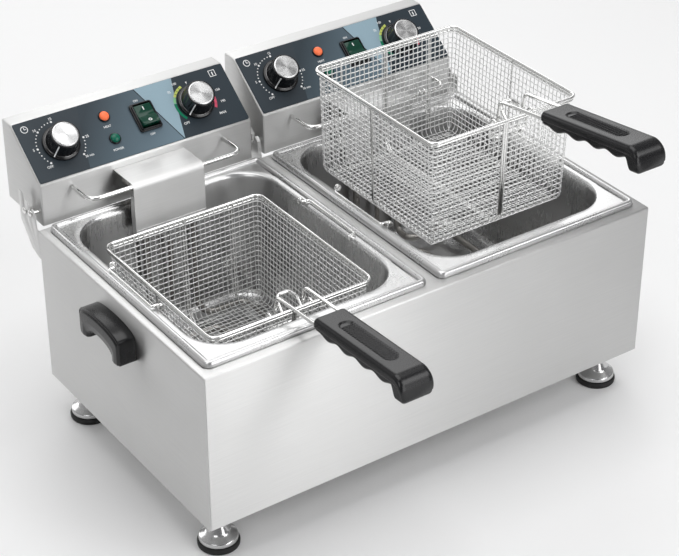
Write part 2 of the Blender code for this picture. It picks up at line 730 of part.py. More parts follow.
def lamp_mesh():
    """Indicator lamp: domed lens in a collar, with its body behind the panel."""
    low = PANEL_FACE + GAP
    return turned([(0.0, 0.0062), (0.0036, 0.0054), (0.0063, 0.0028), (0.0063, low),
                   (LAMP_BODY, low), (LAMP_BODY, -0.0160), (0.0, -0.0160)], 12)


def rail_curve():
    """The hanger rail: a flat U of wire that stands out from the head's face."""
    half = 0.0935
    start = HEAD_FACE - GAP
    points = [(-half, start, RAIL_Z), (-half, RAIL_Y, RAIL_Z)]
    points += [(-x, y, z) for x, y, z in reversed(points)]
    return wire_curve(rounded_path(points, 0.012, steps=3), RAIL_WIRE)


def guard_mesh():
    """The cover over the element's legs: a top plate over the rail, a front plate and two short flanges."""
    half = 0.0435
    front = RAIL_Y - RAIL_WIRE - GAP - SHEET
    top = RAIL_Z + RAIL_WIRE + GAP + SHEET
    low = DECK - 0.023
    flange_top = RAIL_Z - RAIL_WIRE - 0.0085
    bend = 0.0030
    profile = [(HEAD_FACE - GAP, top - SHEET), (HEAD_FACE - GAP, top), (front + bend, top)]
    for step in range(1, 4):
        angle = math.pi / 2 * (1 + step / 3)
        profile.append((front + bend + bend * math.cos(angle), top - bend + bend * math.sin(angle)))
    profile += [(front, low), (front + SHEET, low)]
    for step in range(4):
        angle = math.pi - math.pi / 2 * step / 3
        inner = bend - SHEET
        profile.append((front + bend + inner * math.cos(angle), top - bend + inner * math.sin(angle)))
    sheet = side_plate(profile, 0.0, 2 * half)
    flanges = []
    for side in (-1, 1):
        edges = sorted((side * half, side * (half - SHEET)))
        flanges.append(box((edges[0], front + SHEET / 2, low), (edges[1], front + 0.0085, flange_top)))
    return union(sheet, *flanges)


def element_curve():
    """Tubular heating element: two legs down the tank's rear wall and a serpentine over its floor."""
    floor = TANK_FLOOR + 0.0129
    outer = 0.078
    inner = 0.026
    back = OPENING_MIDDLE + OPENING_LENGTH / 2 - 0.040
    front = OPENING_MIDDLE - OPENING_LENGTH / 2 + 0.034
    half = [(ELEMENT_LEG_X, HEAD_FACE + 0.012, ELEMENT_EXIT), (ELEMENT_LEG_X, ELEMENT_LEG_Y, ELEMENT_EXIT),
            (ELEMENT_LEG_X, ELEMENT_LEG_Y, floor), (ELEMENT_LEG_X, back, floor), (outer, back, floor),
            (outer, front, floor), (inner, front, floor), (inner, back - 0.028, floor)]
    other = [(-x, y, z) for x, y, z in reversed(half)]
    return wire_curve(rounded_path(half + other, 0.012), ELEMENT_RADIUS)


def gland_mesh():
    """Cable gland on the rear plate, about its own axis along Z: nut, body through the plate and bore."""
    body = turned([(0.0, 0.0110), (0.0080, 0.0110), (0.0120, 0.0085), (0.0120, GAP),
                   (GLAND_HOLE - GAP, GAP), (GLAND_HOLE - GAP, -0.0100), (0.0, -0.0100)], 12)
    return cut(body, cylinder(0.0042, (0, 0, -0.02), (0, 0, 0.02), 10))


def build_heads(build):
    back, panel, knob, cap = head_back_mesh(), control_panel_mesh(), knob_mesh(), knob_cap_mesh()
    timer, thermostat, bezel, rocker = timer_mesh(), thermostat_mesh(), switch_bezel_mesh(), rocker_mesh()
    guard, gland = guard_mesh(), gland_mesh()
    lamps = {"heat": ("lamp_orange", HEAT_LAMP_HEIGHT, lamp_mesh()),
             "power": ("lamp_green", POWER_LAMP_HEIGHT, lamp_mesh())}
    for side, centre, sign in SIDES:
        origin = (centre, 0.0, 0.0)
        slope = build.frame(f"{side}_slope", (centre, HEAD_FACE, SLOPE_FOOT), SLOPE_ANGLE)
        build.piece(f"{side}_head_housing", head_housing_mesh(sign), "brushed_steel", origin, smooth=False)
        build.piece(f"{side}_head_back_cover", back, "brushed_steel", origin, smooth=False)
        build.piece(f"{side}_control_panel", panel, "panel_slate", parent=slope, smooth=False)
        for label, x in (("timer", TIMER_X), ("thermostat", THERMOSTAT_X)):
            place = (x, DIAL_HEIGHT, 0.0)
            build.piece(f"{side}_{label}_knob", knob, "black_plastic", place, slope)
            build.piece(f"{side}_{label}_knob_cap", cap, "knob_cap", place, slope)
        build.piece(f"{side}_timer", timer, "component_plastic", (TIMER_X, DIAL_HEIGHT, 0.0), slope)
        build.piece(f"{side}_thermostat", thermostat, "component_plastic", origin)
        place = (SWITCH_X, SWITCH_HEIGHT, 0.0)
        build.piece(f"{side}_switch_bezel", bezel, "black_plastic", place, slope, smooth=False)
        place = (SWITCH_X, SWITCH_HEIGHT, ROCKER_PIVOT)
        build.piece(f"{side}_switch_rocker", rocker, "switch_green", place, slope, smooth=False)
        for label, (material, height, lens) in lamps.items():
            build.piece(f"{side}_{label}_lamp", lens, material, (LAMP_X, height, 0.0), slope)
        build.piece(f"{side}_element_guard", guard, "brushed_steel", origin, smooth=False)
        place = (centre + GLAND_X, HEAD_REAR, HEAD_BOTTOM + GLAND_HEIGHT)
        build.piece(f"{side}_cable_gland", gland, "black_plastic", place, turn_x=-math.pi / 2)
        build.tube(f"{side}_hanger_rail", rail_curve(), "polished_wire", origin)
        build.tube(f"{side}_heating_element", element_curve(), "element_steel", origin)


# ---------------------------------------------------------------- baskets
# A basket's own frame has its origin in the middle of its front edge, at the height of the rim wire.


def basket_ring(inset, height, radius, steps=3):
    ring = rounded_rectangle(BASKET_WIDTH - 2 * inset, BASKET_LENGTH - 2 * inset, radius, height, steps)
    return [point + Vector((0.0, BASKET_LENGTH / 2, 0.0)) for point in ring]


def basket_mesh_mesh():
    """The woven basket as a thin open-topped shell of its true outer shape."""
    wall = SHELL_INSET + SHEET / 2
    floor = -BASKET_WALL_HEIGHT + SHEET / 2
    rings = [basket_ring(wall, -0.0005, BASKET_CORNER - 0.003)]
    rings.append(basket_ring(wall + BASKET_DRAFT * 0.93, floor + 0.008, BASKET_CORNER - 0.004))
    rings.append(basket_ring(wall + BASKET_DRAFT + 0.002, floor + 0.0022, BASKET_CORNER - 0.005))
    rings.append(basket_ring(wall + BASKET_DRAFT + 0.008, floor, BASKET_CORNER - 0.008))
    return pressed_shell(rings, SHEET)


def wall_inset(depth, radius):
    """Centre of a wire of this radius that runs down outside the shell, at a depth below the rim."""
    return SHELL_INSET + BASKET_DRAFT * 0.93 * depth / WALL_KNEE - GAP - radius


def strap_points(half_span):
    """A strap down one wall, under the floor and up the other wall, in one plane."""
    foot_half = half_span - wall_inset(WALL_KNEE, STRAP_WIRE)
    half = [(half_span - RIM_WIRE, 0.0), (foot_half, -WALL_KNEE)]
    half.append((foot_half - 0.0006, STRAP_FLOOR + 0.0030))
    half.append((half_span - SHELL_INSET - BASKET_DRAFT - 0.0035, STRAP_FLOOR))
    return half + [(-across, height) for across, height in reversed(half)]


def hook_points(side_x):
    """A hairpin hook on the rear wall: up the wall, back over the rail and down behind it."""
    rail_from_front = RAIL_Y - BODY_FRONT - RAISED_FRONT
    top = RAIL_Z - RAISED_RIM
    bend = RAIL_WIRE + GAP + HOOK_WIRE
    points = []
    for offset in (-0.0030, 0.0030):
        low_places = (HOOK_TIE_DEPTH + 0.008, HOOK_TIE_DEPTH - 0.005)
        leg = [(BASKET_LENGTH - wall_inset(depth, HOOK_WIRE), -depth) for depth in low_places]
        for step in range(7):
            angle = math.pi * (1 - step / 6)
            leg.append((rail_from_front + bend * math.cos(angle), top + bend * math.sin(angle)))
        leg.append((rail_from_front + bend, top - 0.0060))
        branch = [Vector((side_x + offset, y, z)) for y, z in leg]
        points += branch if offset < 0 else list(reversed(branch))
    return points


def basket_frame_mesh(handle_shift):
    """Rim, straps, foot ring, rear hooks, front arch and the bar that carries the handle."""
    rim = wire(basket_ring(RIM_WIRE, 0.0, BASKET_CORNER), RIM_WIRE, closed=True)
    middle = BASKET_LENGTH / 2
    across = wire([(x, middle, z) for x, z in strap_points(BASKET_WIDTH / 2)], STRAP_WIRE)
    along = wire([(0.0, middle + y, z) for y, z in strap_points(BASKET_LENGTH / 2)], STRAP_WIRE)
    ring_inset = SHELL_INSET + BASKET_DRAFT + 0.012
    foot_ring = wire(basket_ring(ring_inset, STRAP_FLOOR, BASKET_CORNER), STRAP_WIRE, closed=True)
    hooks = [wire(hook_points(side * HOOK_X), HOOK_WIRE) for side in (-1, 1)]
    half_arch = HANDLE_SPREAD - 0.0053
    arch_side = [(half_arch, RIM_WIRE, 0.0), (half_arch, 0.010, 0.009), (half_arch - 0.005, 0.017, 0.0125)]
    arch = [(handle_shift + x, y, z) for x, y, z in arch_side]
    arch += [(handle_shift - x, y, z) for x, y, z in reversed(arch_side)]
    arch_wire = wire(rounded_path(arch, 0.004), STRAP_WIRE + 0.0002)
    half_bar = HANDLE_SPREAD + 0.0080
    hanger = [(0.0030, 0.0014), (0.0070, 0.0026), (PIVOT_BACK - 0.0010, -0.0040), (PIVOT_BACK, -PIVOT_DROP)]
    left_leg = [(handle_shift - half_bar, y, z) for y, z in hanger]
    right_leg = [(handle_shift + half_bar, y, z) for y, z in reversed(hanger)]
    pivot_bar = wire(left_leg + right_leg, STRAP_WIRE)
    return union(rim, across, along, foot_ring, *hooks, *hook_supports(), arch_wire, pivot_bar)


def hook_supports():
    """Upright wires from the rim down the rear wall, each tied to its hook by a short cross wire."""
    supports = []
    for side in (-1, 1):
        x = side * HOOK_X
        points = [(x, BASKET_LENGTH - RIM_WIRE, 0.0)]
        for depth in (WALL_KNEE / 2, WALL_KNEE):
            points.append((x, BASKET_LENGTH - wall_inset(depth, STRAP_WIRE), -depth))
        supports.append(wire(points, STRAP_WIRE))
        tie_y = BASKET_LENGTH - wall_inset(HOOK_TIE_DEPTH, HOOK_WIRE)
        tie_start, tie_end = (x - 0.0042, tie_y, -HOOK_TIE_DEPTH), (x + 0.0042, tie_y, -HOOK_TIE_DEPTH)
        supports.append(cylinder(HOOK_WIRE, tie_start, tie_end, 8))
    return supports


def grip_outline():
    """Side view of the grip in Y and Z about its near end: top line, turned-down end and finger waves."""
    top = 0.0075
    belly = -0.0060
    outline = [(0.0, -0.0040), (0.0, 0.0045), (-0.0030, top)]
    tip = ((0.0160, 0.0080), (0.0080, 0.0065), (0.0025, 0.0020), (0.0, -0.0045), (0.0010, -0.0175),
           (0.0035, -0.0195), (0.0110, -0.0195), (0.0145, -0.0160))
    outline += [(-GRIP_LENGTH + inward, height) for inward, height in tip]
    waves = 4
    samples = 4
    start = -GRIP_LENGTH + 0.019
    end = -0.006
    for step in range(waves * samples + 1):
        along = step / (waves * samples)
        y = start + (end - start) * along
        swell = 0.5 - 0.5 * math.cos(2 * math.pi * along * waves)
        outline.append((y, belly - 0.0014 - 0.0034 * swell))
    return outline


def handle_wire_path():
    """One of the handle's two wires about the pivot bar, from its hook to the inside of the grip."""
    ring = STRAP_WIRE + GAP + HANDLE_WIRE
    turns = [math.pi * (1 + step / 4) for step in range(5)]
    hook = [(ring * math.cos(angle), ring * math.sin(angle)) for angle in turns]
    on_rim = (SHELL_INSET + SHEET + HANDLE_WIRE + 0.0004 - PIVOT_BACK, PIVOT_DROP)
    shoulder = (0.0030 - PIVOT_BACK, PIVOT_DROP + 0.0205)
    inside_grip = GRIP_REACH + 0.0750 + 0.0030
    inner = (shoulder[0] - inside_grip, shoulder[1] + math.tan(HANDLE_RISE) * inside_grip)
    rise = rounded_path([(0.0, *hook[-1]), (0.0, *on_rim), (0.0, *shoulder), (0.0, *inner)], 0.006)
    return hook[:-1] + [(point.y, point.z) for point in rise]


def handle_wire_points():
    """Both wires and the bar that joins them inside the grip."""
    side = handle_wire_path()
    first = [(-HANDLE_SPREAD, y, z) for y, z in side]
    second = [(HANDLE_SPREAD, y, z) for y, z in reversed(side)]
    return first + second


def grip_mesh():
    """The moulded grip about the handle's pivot, hollowed for its wires."""
    inner = Vector((0.0, *handle_wire_path()[-1]))
    along = Vector((0.0, -math.cos(HANDLE_RISE), math.sin(HANDLE_RISE)))
    near = inner - along * 0.0750
    grip = side_plate(grip_outline(), 0.0, GRIP_WIDTH, bevel=0.0032, bevel_steps=2)
    grip.transform(Matrix.Translation(near) @ Matrix.Rotation(-HANDLE_RISE, 4, "X"))
    spread = Vector((HANDLE_SPREAD, 0.0, 0.0))
    mouth = near - along * 0.010
    channel = wire([mouth - spread, inner - spread, inner + spread, mouth + spread], HANDLE_WIRE + GAP)
    return cut(grip, channel)


def build_baskets(build):
    woven, grip = basket_mesh_mesh(), grip_mesh()
    places = {"left": (LOWERED_FRONT, LOWERED_RIM, 0.0, LOWERED_HANDLE_SHIFT),
              "right": (RAISED_FRONT, RAISED_RIM, RAISED_HANDLE_LIFT, RAISED_HANDLE_SHIFT)}
    for side, centre, _ in SIDES:
        front, rim, lift, shift = places[side]
        origin = Vector((centre, BODY_FRONT + front, rim))
        build.piece(f"{side}_basket_frame", basket_frame_mesh(shift), "polished_wire", origin)
        build.piece(f"{side}_basket_mesh", woven, "mesh_wire", origin)
        pivot = origin + Vector((shift, PIVOT_BACK, -PIVOT_DROP))
        hinge = build.frame(f"{side}_handle_pivot", pivot, -lift)
        build.piece(f"{side}_basket_grip", grip, "black_plastic", parent=hinge)
        handle = wire_curve(handle_wire_points(), HANDLE_WIRE)
        build.tube(f"{side}_basket_handle_wire", handle, "polished_wire", parent=hinge)


def main():
    clear_scene()
    build = Builder()
    build_body(build)
    build_feet(build)
    build_tanks(build)
    build_heads(build)
    build_baskets(build)


main()
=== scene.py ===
"""Looks of the twin-tank deep fryer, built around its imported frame.

Lengths are in metres, with +X to the right, +Y to the rear and +Z up. Every piece is made where the
frame says it goes, rides on a body of the frame and has a procedural material.
"""

import json
import math

import bmesh
import bpy
from mathutils import Matrix, Vector


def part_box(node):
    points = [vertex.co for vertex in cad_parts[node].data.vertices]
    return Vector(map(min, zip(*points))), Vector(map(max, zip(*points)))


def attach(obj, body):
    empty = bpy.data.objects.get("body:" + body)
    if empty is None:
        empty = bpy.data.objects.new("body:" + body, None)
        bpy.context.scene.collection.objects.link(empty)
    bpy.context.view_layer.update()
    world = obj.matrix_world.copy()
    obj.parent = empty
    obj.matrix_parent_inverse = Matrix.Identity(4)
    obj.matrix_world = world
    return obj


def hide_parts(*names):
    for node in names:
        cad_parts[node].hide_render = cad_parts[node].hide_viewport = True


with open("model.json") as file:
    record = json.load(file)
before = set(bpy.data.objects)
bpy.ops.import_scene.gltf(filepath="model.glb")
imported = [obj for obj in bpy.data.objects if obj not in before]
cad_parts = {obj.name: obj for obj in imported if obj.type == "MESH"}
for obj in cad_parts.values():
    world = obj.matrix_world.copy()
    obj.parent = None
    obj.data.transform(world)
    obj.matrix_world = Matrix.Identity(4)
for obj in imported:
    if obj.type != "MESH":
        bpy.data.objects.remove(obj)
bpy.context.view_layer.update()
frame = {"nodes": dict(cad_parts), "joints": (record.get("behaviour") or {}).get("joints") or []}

# ---------------------------------------------------------------- places read from the frame
JOINTS = {joint["name"]: joint for joint in frame["joints"]}
SHEET = 0.001
SIDES = (("left", -1), ("right", 1))

body_low, body_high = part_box("housing")
BODY_HALF = body_high.x
BODY_FRONT = body_low.y
BODY_LOW = body_low.z
BODY_REAR = BODY_FRONT + 0.330

tank_low, tank_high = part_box("left_oil_tank")
TANK_MIDDLE = (tank_low.y + tank_high.y) / 2
TANK_FLOOR = tank_low.z
TANK_DEPTH = 0.155
FLANGE_TOP = TANK_FLOOR + TANK_DEPTH
DECK = FLANGE_TOP - 0.0035
TANK_WIDTH = tank_high.x - tank_low.x - SHEET
TANK_LENGTH = tank_high.y - tank_low.y - SHEET
OPENING_WIDTH = 0.238
OPENING_LENGTH = 0.286
OPENING_RADIUS = 0.046
OPENING_MIDDLE = BODY_FRONT + 0.030 + OPENING_LENGTH / 2

head_low, head_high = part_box("left_head_housing")
HEAD_HALF = 0.131
HEAD_FACE = head_low.y
HEAD_REAR = head_high.y
HEAD_BOTTOM = head_low.z
HEAD_TOP = head_high.z
PINS = ((0.0072, 0.0157), (0.0205, 0.0130))   # behind the face, above the head's bottom
PIN_RADIUS = 0.0022

DIAL_HEIGHT = 0.0390                          # up the slope from its lower edge
TIMER_X = -0.088
THERMOSTAT_X = 0.0785
SWITCH_X = 0.0155
SWITCH_HEIGHT = 0.040
LAMP_X = -0.029
HEAT_HEIGHT = 0.054
POWER_HEIGHT = 0.026
PANEL_FACE = 0.0009                           # the overlay's surface, out from the slope
PRINT = 0.00006                               # thickness of one printed layer
OFF_ANGLE = 222
MINUTE = 8.93                                 # degrees of the timer's scale
KNOB_FOOT = PANEL_FACE + 0.0009
KNOB_TOP = 0.0222
FITTING_LOW = PANEL_FACE + 0.0003             # underside of the lamps' collars and the switch's surround

rail_low, rail_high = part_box("left_hanger_rail")
RAIL_WIRE = 0.0025
RAIL_Y = rail_low.y + RAIL_WIRE
RAIL_Z = (rail_low.z + rail_high.z) / 2
RAIL_HALF = (rail_high.x - rail_low.x) / 2 - RAIL_WIRE
CLEARANCE = 0.0003                            # between a wire and what rests on it

ELEMENT_LEG_X = 0.030
ELEMENT_LEG_Y = BODY_FRONT + 0.3016
ELEMENT_EXIT = HEAD_BOTTOM + 0.024
ELEMENT_RADIUS = 0.004

BASKET_WIDTH = 0.196
BASKET_LENGTH = 0.217
BASKET_DEPTH = 0.126
BASKET_DRAFT = 0.0037
BASKET_CORNER = 0.012
BASKET_KNEE = BASKET_DEPTH - 0.008            # depth at which the wall turns into the floor
WEAVE_INSET = 0.0048
WEAVE_WIRE = 0.00058
WEAVE_SWING = 0.00032
WIRE_SMOOTHING = 75                           # keeps few-sided wires round to the eye, with sharp ends
PITCH = 0.0062
RIM_WIRE = 0.0018
LOWER_RIM_WIRE = 0.0013
STRAP = 0.0014
STRAP_LOW = -(BASKET_DEPTH + 0.0018)
HOOK_WIRE = 0.00125
HOOK_SPREAD = 0.060
HANDLE_WIRE = 0.002
HANDLE_SPREAD = 0.0165
HANDLE_RISE = math.radians(3.4)
PIVOT_BACK = 0.0125
PIVOT_DROP = 0.0210
GRIP_REACH = 0.0630
GRIP_LENGTH = 0.142
GRIP_HALF = 0.019


class Side:
    """One tank with its head, basket and handle, as the frame places them.

    slope carries a panel's own X, height up the slope and distance out of it; basket and handle carry
    shapes drawn about the middle of the basket's front rim and about the handle's pivot.
    """

    def __init__(self, name, sign):
        self.name = name
        self.sign = sign
        low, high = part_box(f"{name}_oil_tank")
        self.x = (low.x + high.x) / 2
        self.shift = Matrix.Translation((self.x, 0.0, 0.0))
        dial = JOINTS[f"{name}_timer_turn"]
        normal = -Vector(dial["axis"])
        rise = Vector((0.0, normal.z, -normal.y))
        foot = Vector(dial["pos_m"]) - rise * DIAL_HEIGHT
        self.slope = Matrix(((1, 0, 0, self.x), (0, rise.y, normal.y, foot.y),
                             (0, rise.z, normal.z, foot.z), (0, 0, 0, 1)))
        low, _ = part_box(f"{name}_basket_frame")
        _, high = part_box(f"{name}_basket_mesh")
        self.basket = Matrix.Translation((self.x, low.y, high.z + 0.0005))
        handle = JOINTS[f"{name}_basket_handle_fold"]
        self.handle_shift = handle["pos_m"][0] - self.x
        lift = math.radians(-handle["range_deg"][0])
        self.handle = Matrix.Translation(handle["pos_m"]) @ Matrix.Rotation(-lift, 4, "X")


# ---------------------------------------------------------------- mesh helpers
def temporary(data):
    working = bpy.data.objects.new("working", data)
    bpy.context.scene.collection.objects.link(working)
    return working


def realised(working):
    """The evaluated mesh of a working object, welded, and the object dropped."""
    bpy.context.view_layer.update()
    graph = bpy.context.evaluated_depsgraph_get()
    mesh = bpy.data.meshes.new_from_object(working.evaluated_get(graph))
    bpy.data.objects.remove(working, do_unlink=True)
    work = bmesh.new()
    work.from_mesh(mesh)
    bmesh.ops.remove_doubles(work, verts=work.verts, dist=1e-6)
    bmesh.ops.recalc_face_normals(work, faces=work.faces)
    work.to_mesh(mesh)
    work.free()
    return mesh


def from_bmesh(work):
    mesh = bpy.data.meshes.new("shape")
    bmesh.ops.recalc_face_normals(work, faces=work.faces)
    work.to_mesh(mesh)
    work.free()
    return mesh


def smoothed(mesh, angle):
    mesh.shade_smooth()
    mesh.set_sharp_from_angle(angle=math.radians(angle))
    return mesh


def cut(base, *tools):
    """A solid with the tools' shapes taken out of it."""
    target = temporary(base)
    cutters = [temporary(tool) for tool in tools]
    for cutter in cutters:
        step = target.modifiers.new("cut", "BOOLEAN")
        step.operation = "DIFFERENCE"
        step.object = cutter
    result = realised(target)
    for cutter in cutters:
        bpy.data.objects.remove(cutter, do_unlink=True)
    return result


def thickened(mesh, thickness, offset=-1.0):
    """A sheet of even thickness, inwards of the surface, or about its middle with an offset of 0."""
    working = temporary(mesh)
    skin = working.modifiers.new("sheet", "SOLIDIFY")
    skin.thickness = thickness
    skin.offset = offset
    skin.use_even_offset = True
    return realised(working)


def joined(meshes):
    """Several separate solids as one mesh."""
    work = bmesh.new()
    for mesh in meshes:
        work.from_mesh(mesh)
    mesh = bpy.data.meshes.new("group")
    work.to_mesh(mesh)
    work.free()
    return mesh


def placed(mesh, matrix):
    copy = mesh.copy()
    copy.transform(matrix)
    return copy


def moved(mesh, x=0.0, y=0.0, z=0.0):
    return placed(mesh, Matrix.Translation((x, y, z)))


def corner_arc(before, corner, after, radius, steps):
    """Points of an arc that rounds a corner between its two neighbours."""
    back, ahead = before - corner, after - corner
    reach = min(radius / math.tan(back.angle(ahead) / 2), 0.49 * back.length, 0.49 * ahead.length)
    start = corner + back.normalized() * reach
    end = corner + ahead.normalized() * reach
    arc = []
    for step in range(steps + 1):
        along = step / steps
        arc.append((1 - along) ** 2 * start + 2 * along * (1 - along) * corner + along ** 2 * end)
    return arc


def filleted(corners, steps=4, closed=False):
    """Points of a polyline whose corners (u, v, radius) are rounded by their own radius."""
    places = [Vector((corner[0], corner[1])) for corner in corners]
    count = len(places)
    path = []
    for index, corner in enumerate(places):
        radius = corners[index][2] if len(corners[index]) > 2 else 0.0
        if radius == 0.0 or (not closed and index in (0, count - 1)):
            path.append((corner.x, corner.y))
            continue
        arc = corner_arc(places[index - 1], corner, places[(index + 1) % count], radius, steps)
        path += flattened(arc)
    return path


def rounded_path(points, radius, steps=6):
    """Replace each inner corner of a polyline in space with an arc of the given radius."""
    points = [Vector(point) for point in points]
    path = [points[0]]
    for before, corner, after in zip(points, points[1:], points[2:]):
        path += corner_arc(before, corner, after, radius, steps)
    return path + [points[-1]]


def arc_points(radius, start, sweep, steps, centre=(0.0, 0.0)):
    """Points along an arc, from its start angle to the end of its sweep, in radians."""
    points = []
    for step in range(steps + 1):
        angle = start + sweep * step / steps
        points.append((centre[0] + radius * math.cos(angle), centre[1] + radius * math.sin(angle)))
    return points


def hexagon(radius):
    return arc_points(radius, 0.0, math.tau, 6)[:-1]


def flattened(ring):
    return [(point.x, point.y) for point in ring]


def rounded_rectangle(width, length, radius, height=0.0, steps=10):
    points = []
    for side_x, side_y, quarter in ((1, 1, 0), (-1, 1, 1), (-1, -1, 2), (1, -1, 3)):
        centre = Vector((side_x * (width / 2 - radius), side_y * (length / 2 - radius), height))
        for step in range(steps + 1):
            angle = (quarter + step / steps) * math.pi / 2
            points.append(centre + Vector((math.cos(angle), math.sin(angle), 0.0)) * radius)
    return points


def loft(rings, cap_start=False, cap_end=False):
    """Quads between rings of equal point count."""
    work = bmesh.new()
    loops = [[work.verts.new(point) for point in ring] for ring in rings]
    for upper, lower in zip(loops, loops[1:]):
        for index in range(len(upper)):
            following = (index + 1) % len(upper)
            work.faces.new((upper[index], upper[following], lower[following], lower[index]))
    if cap_start:
        work.faces.new(loops[0])
    if cap_end:
        work.faces.new(loops[-1])
    return from_bmesh(work)


def slab(outline, low, high, bevel=0.0, steps=3):
    """A flat outline in X and Y between two heights, with rounded upper and lower rims."""
    work = bmesh.new()
    base = work.faces.new([work.verts.new((x, y, low)) for x, y in outline])
    grown = bmesh.ops.extrude_face_region(work, geom=[base])
    for item in grown["geom"]:
        if isinstance(item, bmesh.types.BMVert):
            item.co.z = high
    if bevel:
        rims = [edge for edge in work.edges if abs(edge.verts[0].co.z - edge.verts[1].co.z) < 1e-9]
        bmesh.ops.bevel(work, geom=rims, offset=bevel, segments=steps, profile=0.5, affect="EDGES")
    return from_bmesh(work)


def across(mesh):
    """Turn a shape drawn as (Y, Z) with its thickness along Z so that the thickness runs along X."""
    mesh.transform(Matrix(((0, 0, 1, 0), (1, 0, 0, 0), (0, 1, 0, 0), (0, 0, 0, 1))))
    return mesh


def block(low, high, bevel=0.0, steps=2):
    outline = [(low[0], low[1]), (high[0], low[1]), (high[0], high[1]), (low[0], high[1])]
    return slab(outline, low[2], high[2], bevel, steps)


def rod(radius, start, end, segments=24):
    start, end = Vector(start), Vector(end)
    work = bmesh.new()
    bmesh.ops.create_cone(work, cap_ends=True, segments=segments, radius1=radius, radius2=radius,
                          depth=(end - start).length)
    turn = (end - start).to_track_quat("Z", "Y").to_matrix().to_4x4()
    work.transform(Matrix.Translation((start + end) / 2) @ turn)
    return from_bmesh(work)


def turned(profile, segments=64, closed=False):
    """A solid of revolution about Z from (radius, height) points."""
    work = bmesh.new()
    points = [work.verts.new((radius, 0.0, height)) for radius, height in profile]
    pairs = list(zip(points, points[1:]))
    if closed:
        pairs.append((points[-1], points[0]))
    for first, second in pairs:
        work.edges.new((first, second))
    mesh = bpy.data.meshes.new("profile")
    work.to_mesh(mesh)
    work.free()
    working = temporary(mesh)
    screw = working.modifiers.new("turn", "SCREW")
    screw.axis = "Z"
    screw.steps = segments
    screw.render_steps = segments
    screw.use_merge_vertices = True
    screw.merge_threshold = 0.000005
    return realised(working)


def wires(paths, radius, sides=4):
    """Round wires as one mesh: each path is (points, closed)."""
    curve = bpy.data.curves.new("wires", "CURVE")
    curve.dimensions = "3D"
    curve.bevel_depth = radius
    curve.bevel_resolution = sides
    curve.use_fill_caps = True
    for points, closed in paths:
        spline = curve.splines.new("POLY")
        spline.points.add(len(points) - 1)
        for point, place in zip(spline.points, points):
            point.co = (*place, 1.0)
        spline.use_cyclic_u = closed
        spline.use_smooth = True
    return realised(temporary(curve))


def folded_cover(outline, half_width, fold, steps=5):
    """Sheet cover from a side outline in (Y, Z), rounded at its folds, open behind and below."""
    work = bmesh.new()
    base = work.faces.new([work.verts.new((-half_width, y, z)) for y, z in outline])
    grown = bmesh.ops.extrude_face_region(work, geom=[base])
    for item in grown["geom"]:
        if isinstance(item, bmesh.types.BMVert):
            item.co.x = half_width
    bmesh.ops.recalc_face_normals(work, faces=work.faces)

    def is_open(face):
        return face.normal.y > 0.99 or face.normal.z < -0.99

    folds = [edge for edge in work.edges if not any(is_open(face) for face in edge.link_faces)]
    bmesh.ops.bevel(work, geom=folds, offset=fold, segments=steps, profile=0.5, affect="EDGES")
    work.normal_update()
    bmesh.ops.delete(work, geom=[face for face in work.faces if is_open(face)], context="FACES")
    return thickened(from_bmesh(work), SHEET)


# ---------------------------------------------------------------- materials
def node(tree, kind, **values):
    item = tree.nodes.new(kind)
    for name, value in values.items():
        setattr(item, name, value)
    return item


def noise(tree, coordinates, stretch, scale, detail=3.0):
    """Noise over object coordinates in metres, with features longest where the stretch is small."""
    mapping = node(tree, "ShaderNodeMapping")
    mapping.inputs["Scale"].default_value = stretch
    tree.links.new(coordinates, mapping.inputs["Vector"])
    texture = node(tree, "ShaderNodeTexNoise")
    texture.inputs["Scale"].default_value = scale
    texture.inputs["Detail"].default_value = detail
    tree.links.new(mapping.outputs["Vector"], texture.inputs["Vector"])
    return texture.outputs["Fac"]


def ranged(tree, value, low, high, start=0.3, stop=0.7):
    item = node(tree, "ShaderNodeMapRange")
    for name, number in (("From Min", start), ("From Max", stop), ("To Min", low), ("To Max", high)):
        item.inputs[name].default_value = number
    tree.links.new(value, item.inputs["Value"])
    return item.outputs["Result"]


def mixed(tree, factor, first, second):
    """Blend two colours or two sockets by a factor socket."""
    item = node(tree, "ShaderNodeMix", data_type="RGBA")
    tree.links.new(factor, item.inputs["Factor"])
    for name, source in (("A", first), ("B", second)):
        socket = next(entry for entry in item.inputs if entry.name == name and entry.type == "RGBA")
        if isinstance(source, bpy.types.NodeSocket):
            tree.links.new(source, socket)
        else:
            socket.default_value = (*source, 1.0)
    return next(entry for entry in item.outputs if entry.type == "RGBA")


def faces_sideways(tree, coordinates):
    """1 on faces that look along X, and 0 elsewhere."""
    split = node(tree, "ShaderNodeSeparateXYZ")
    tree.links.new(coordinates.outputs["Normal"], split.inputs["Vector"])
    size = node(tree, "ShaderNodeMath", operation="ABSOLUTE")
    tree.links.new(split.outputs["X"], size.inputs[0])
    choice = node(tree, "ShaderNodeMath", operation="GREATER_THAN")
    choice.inputs[1].default_value = 0.7
    tree.links.new(size.outputs["Value"], choice.inputs[0])
    return choice.outputs["Value"]


def by_side(tree, sideways, along_x, along_y):
    """Use the second value on faces that look along X, and the first elsewhere."""
    item = node(tree, "ShaderNodeMix", data_type="FLOAT")
    tree.links.new(sideways, item.inputs["Factor"])
    tree.links.new(along_x, item.inputs["A"])
    tree.links.new(along_y, item.inputs["B"])
    return item.outputs["Result"]


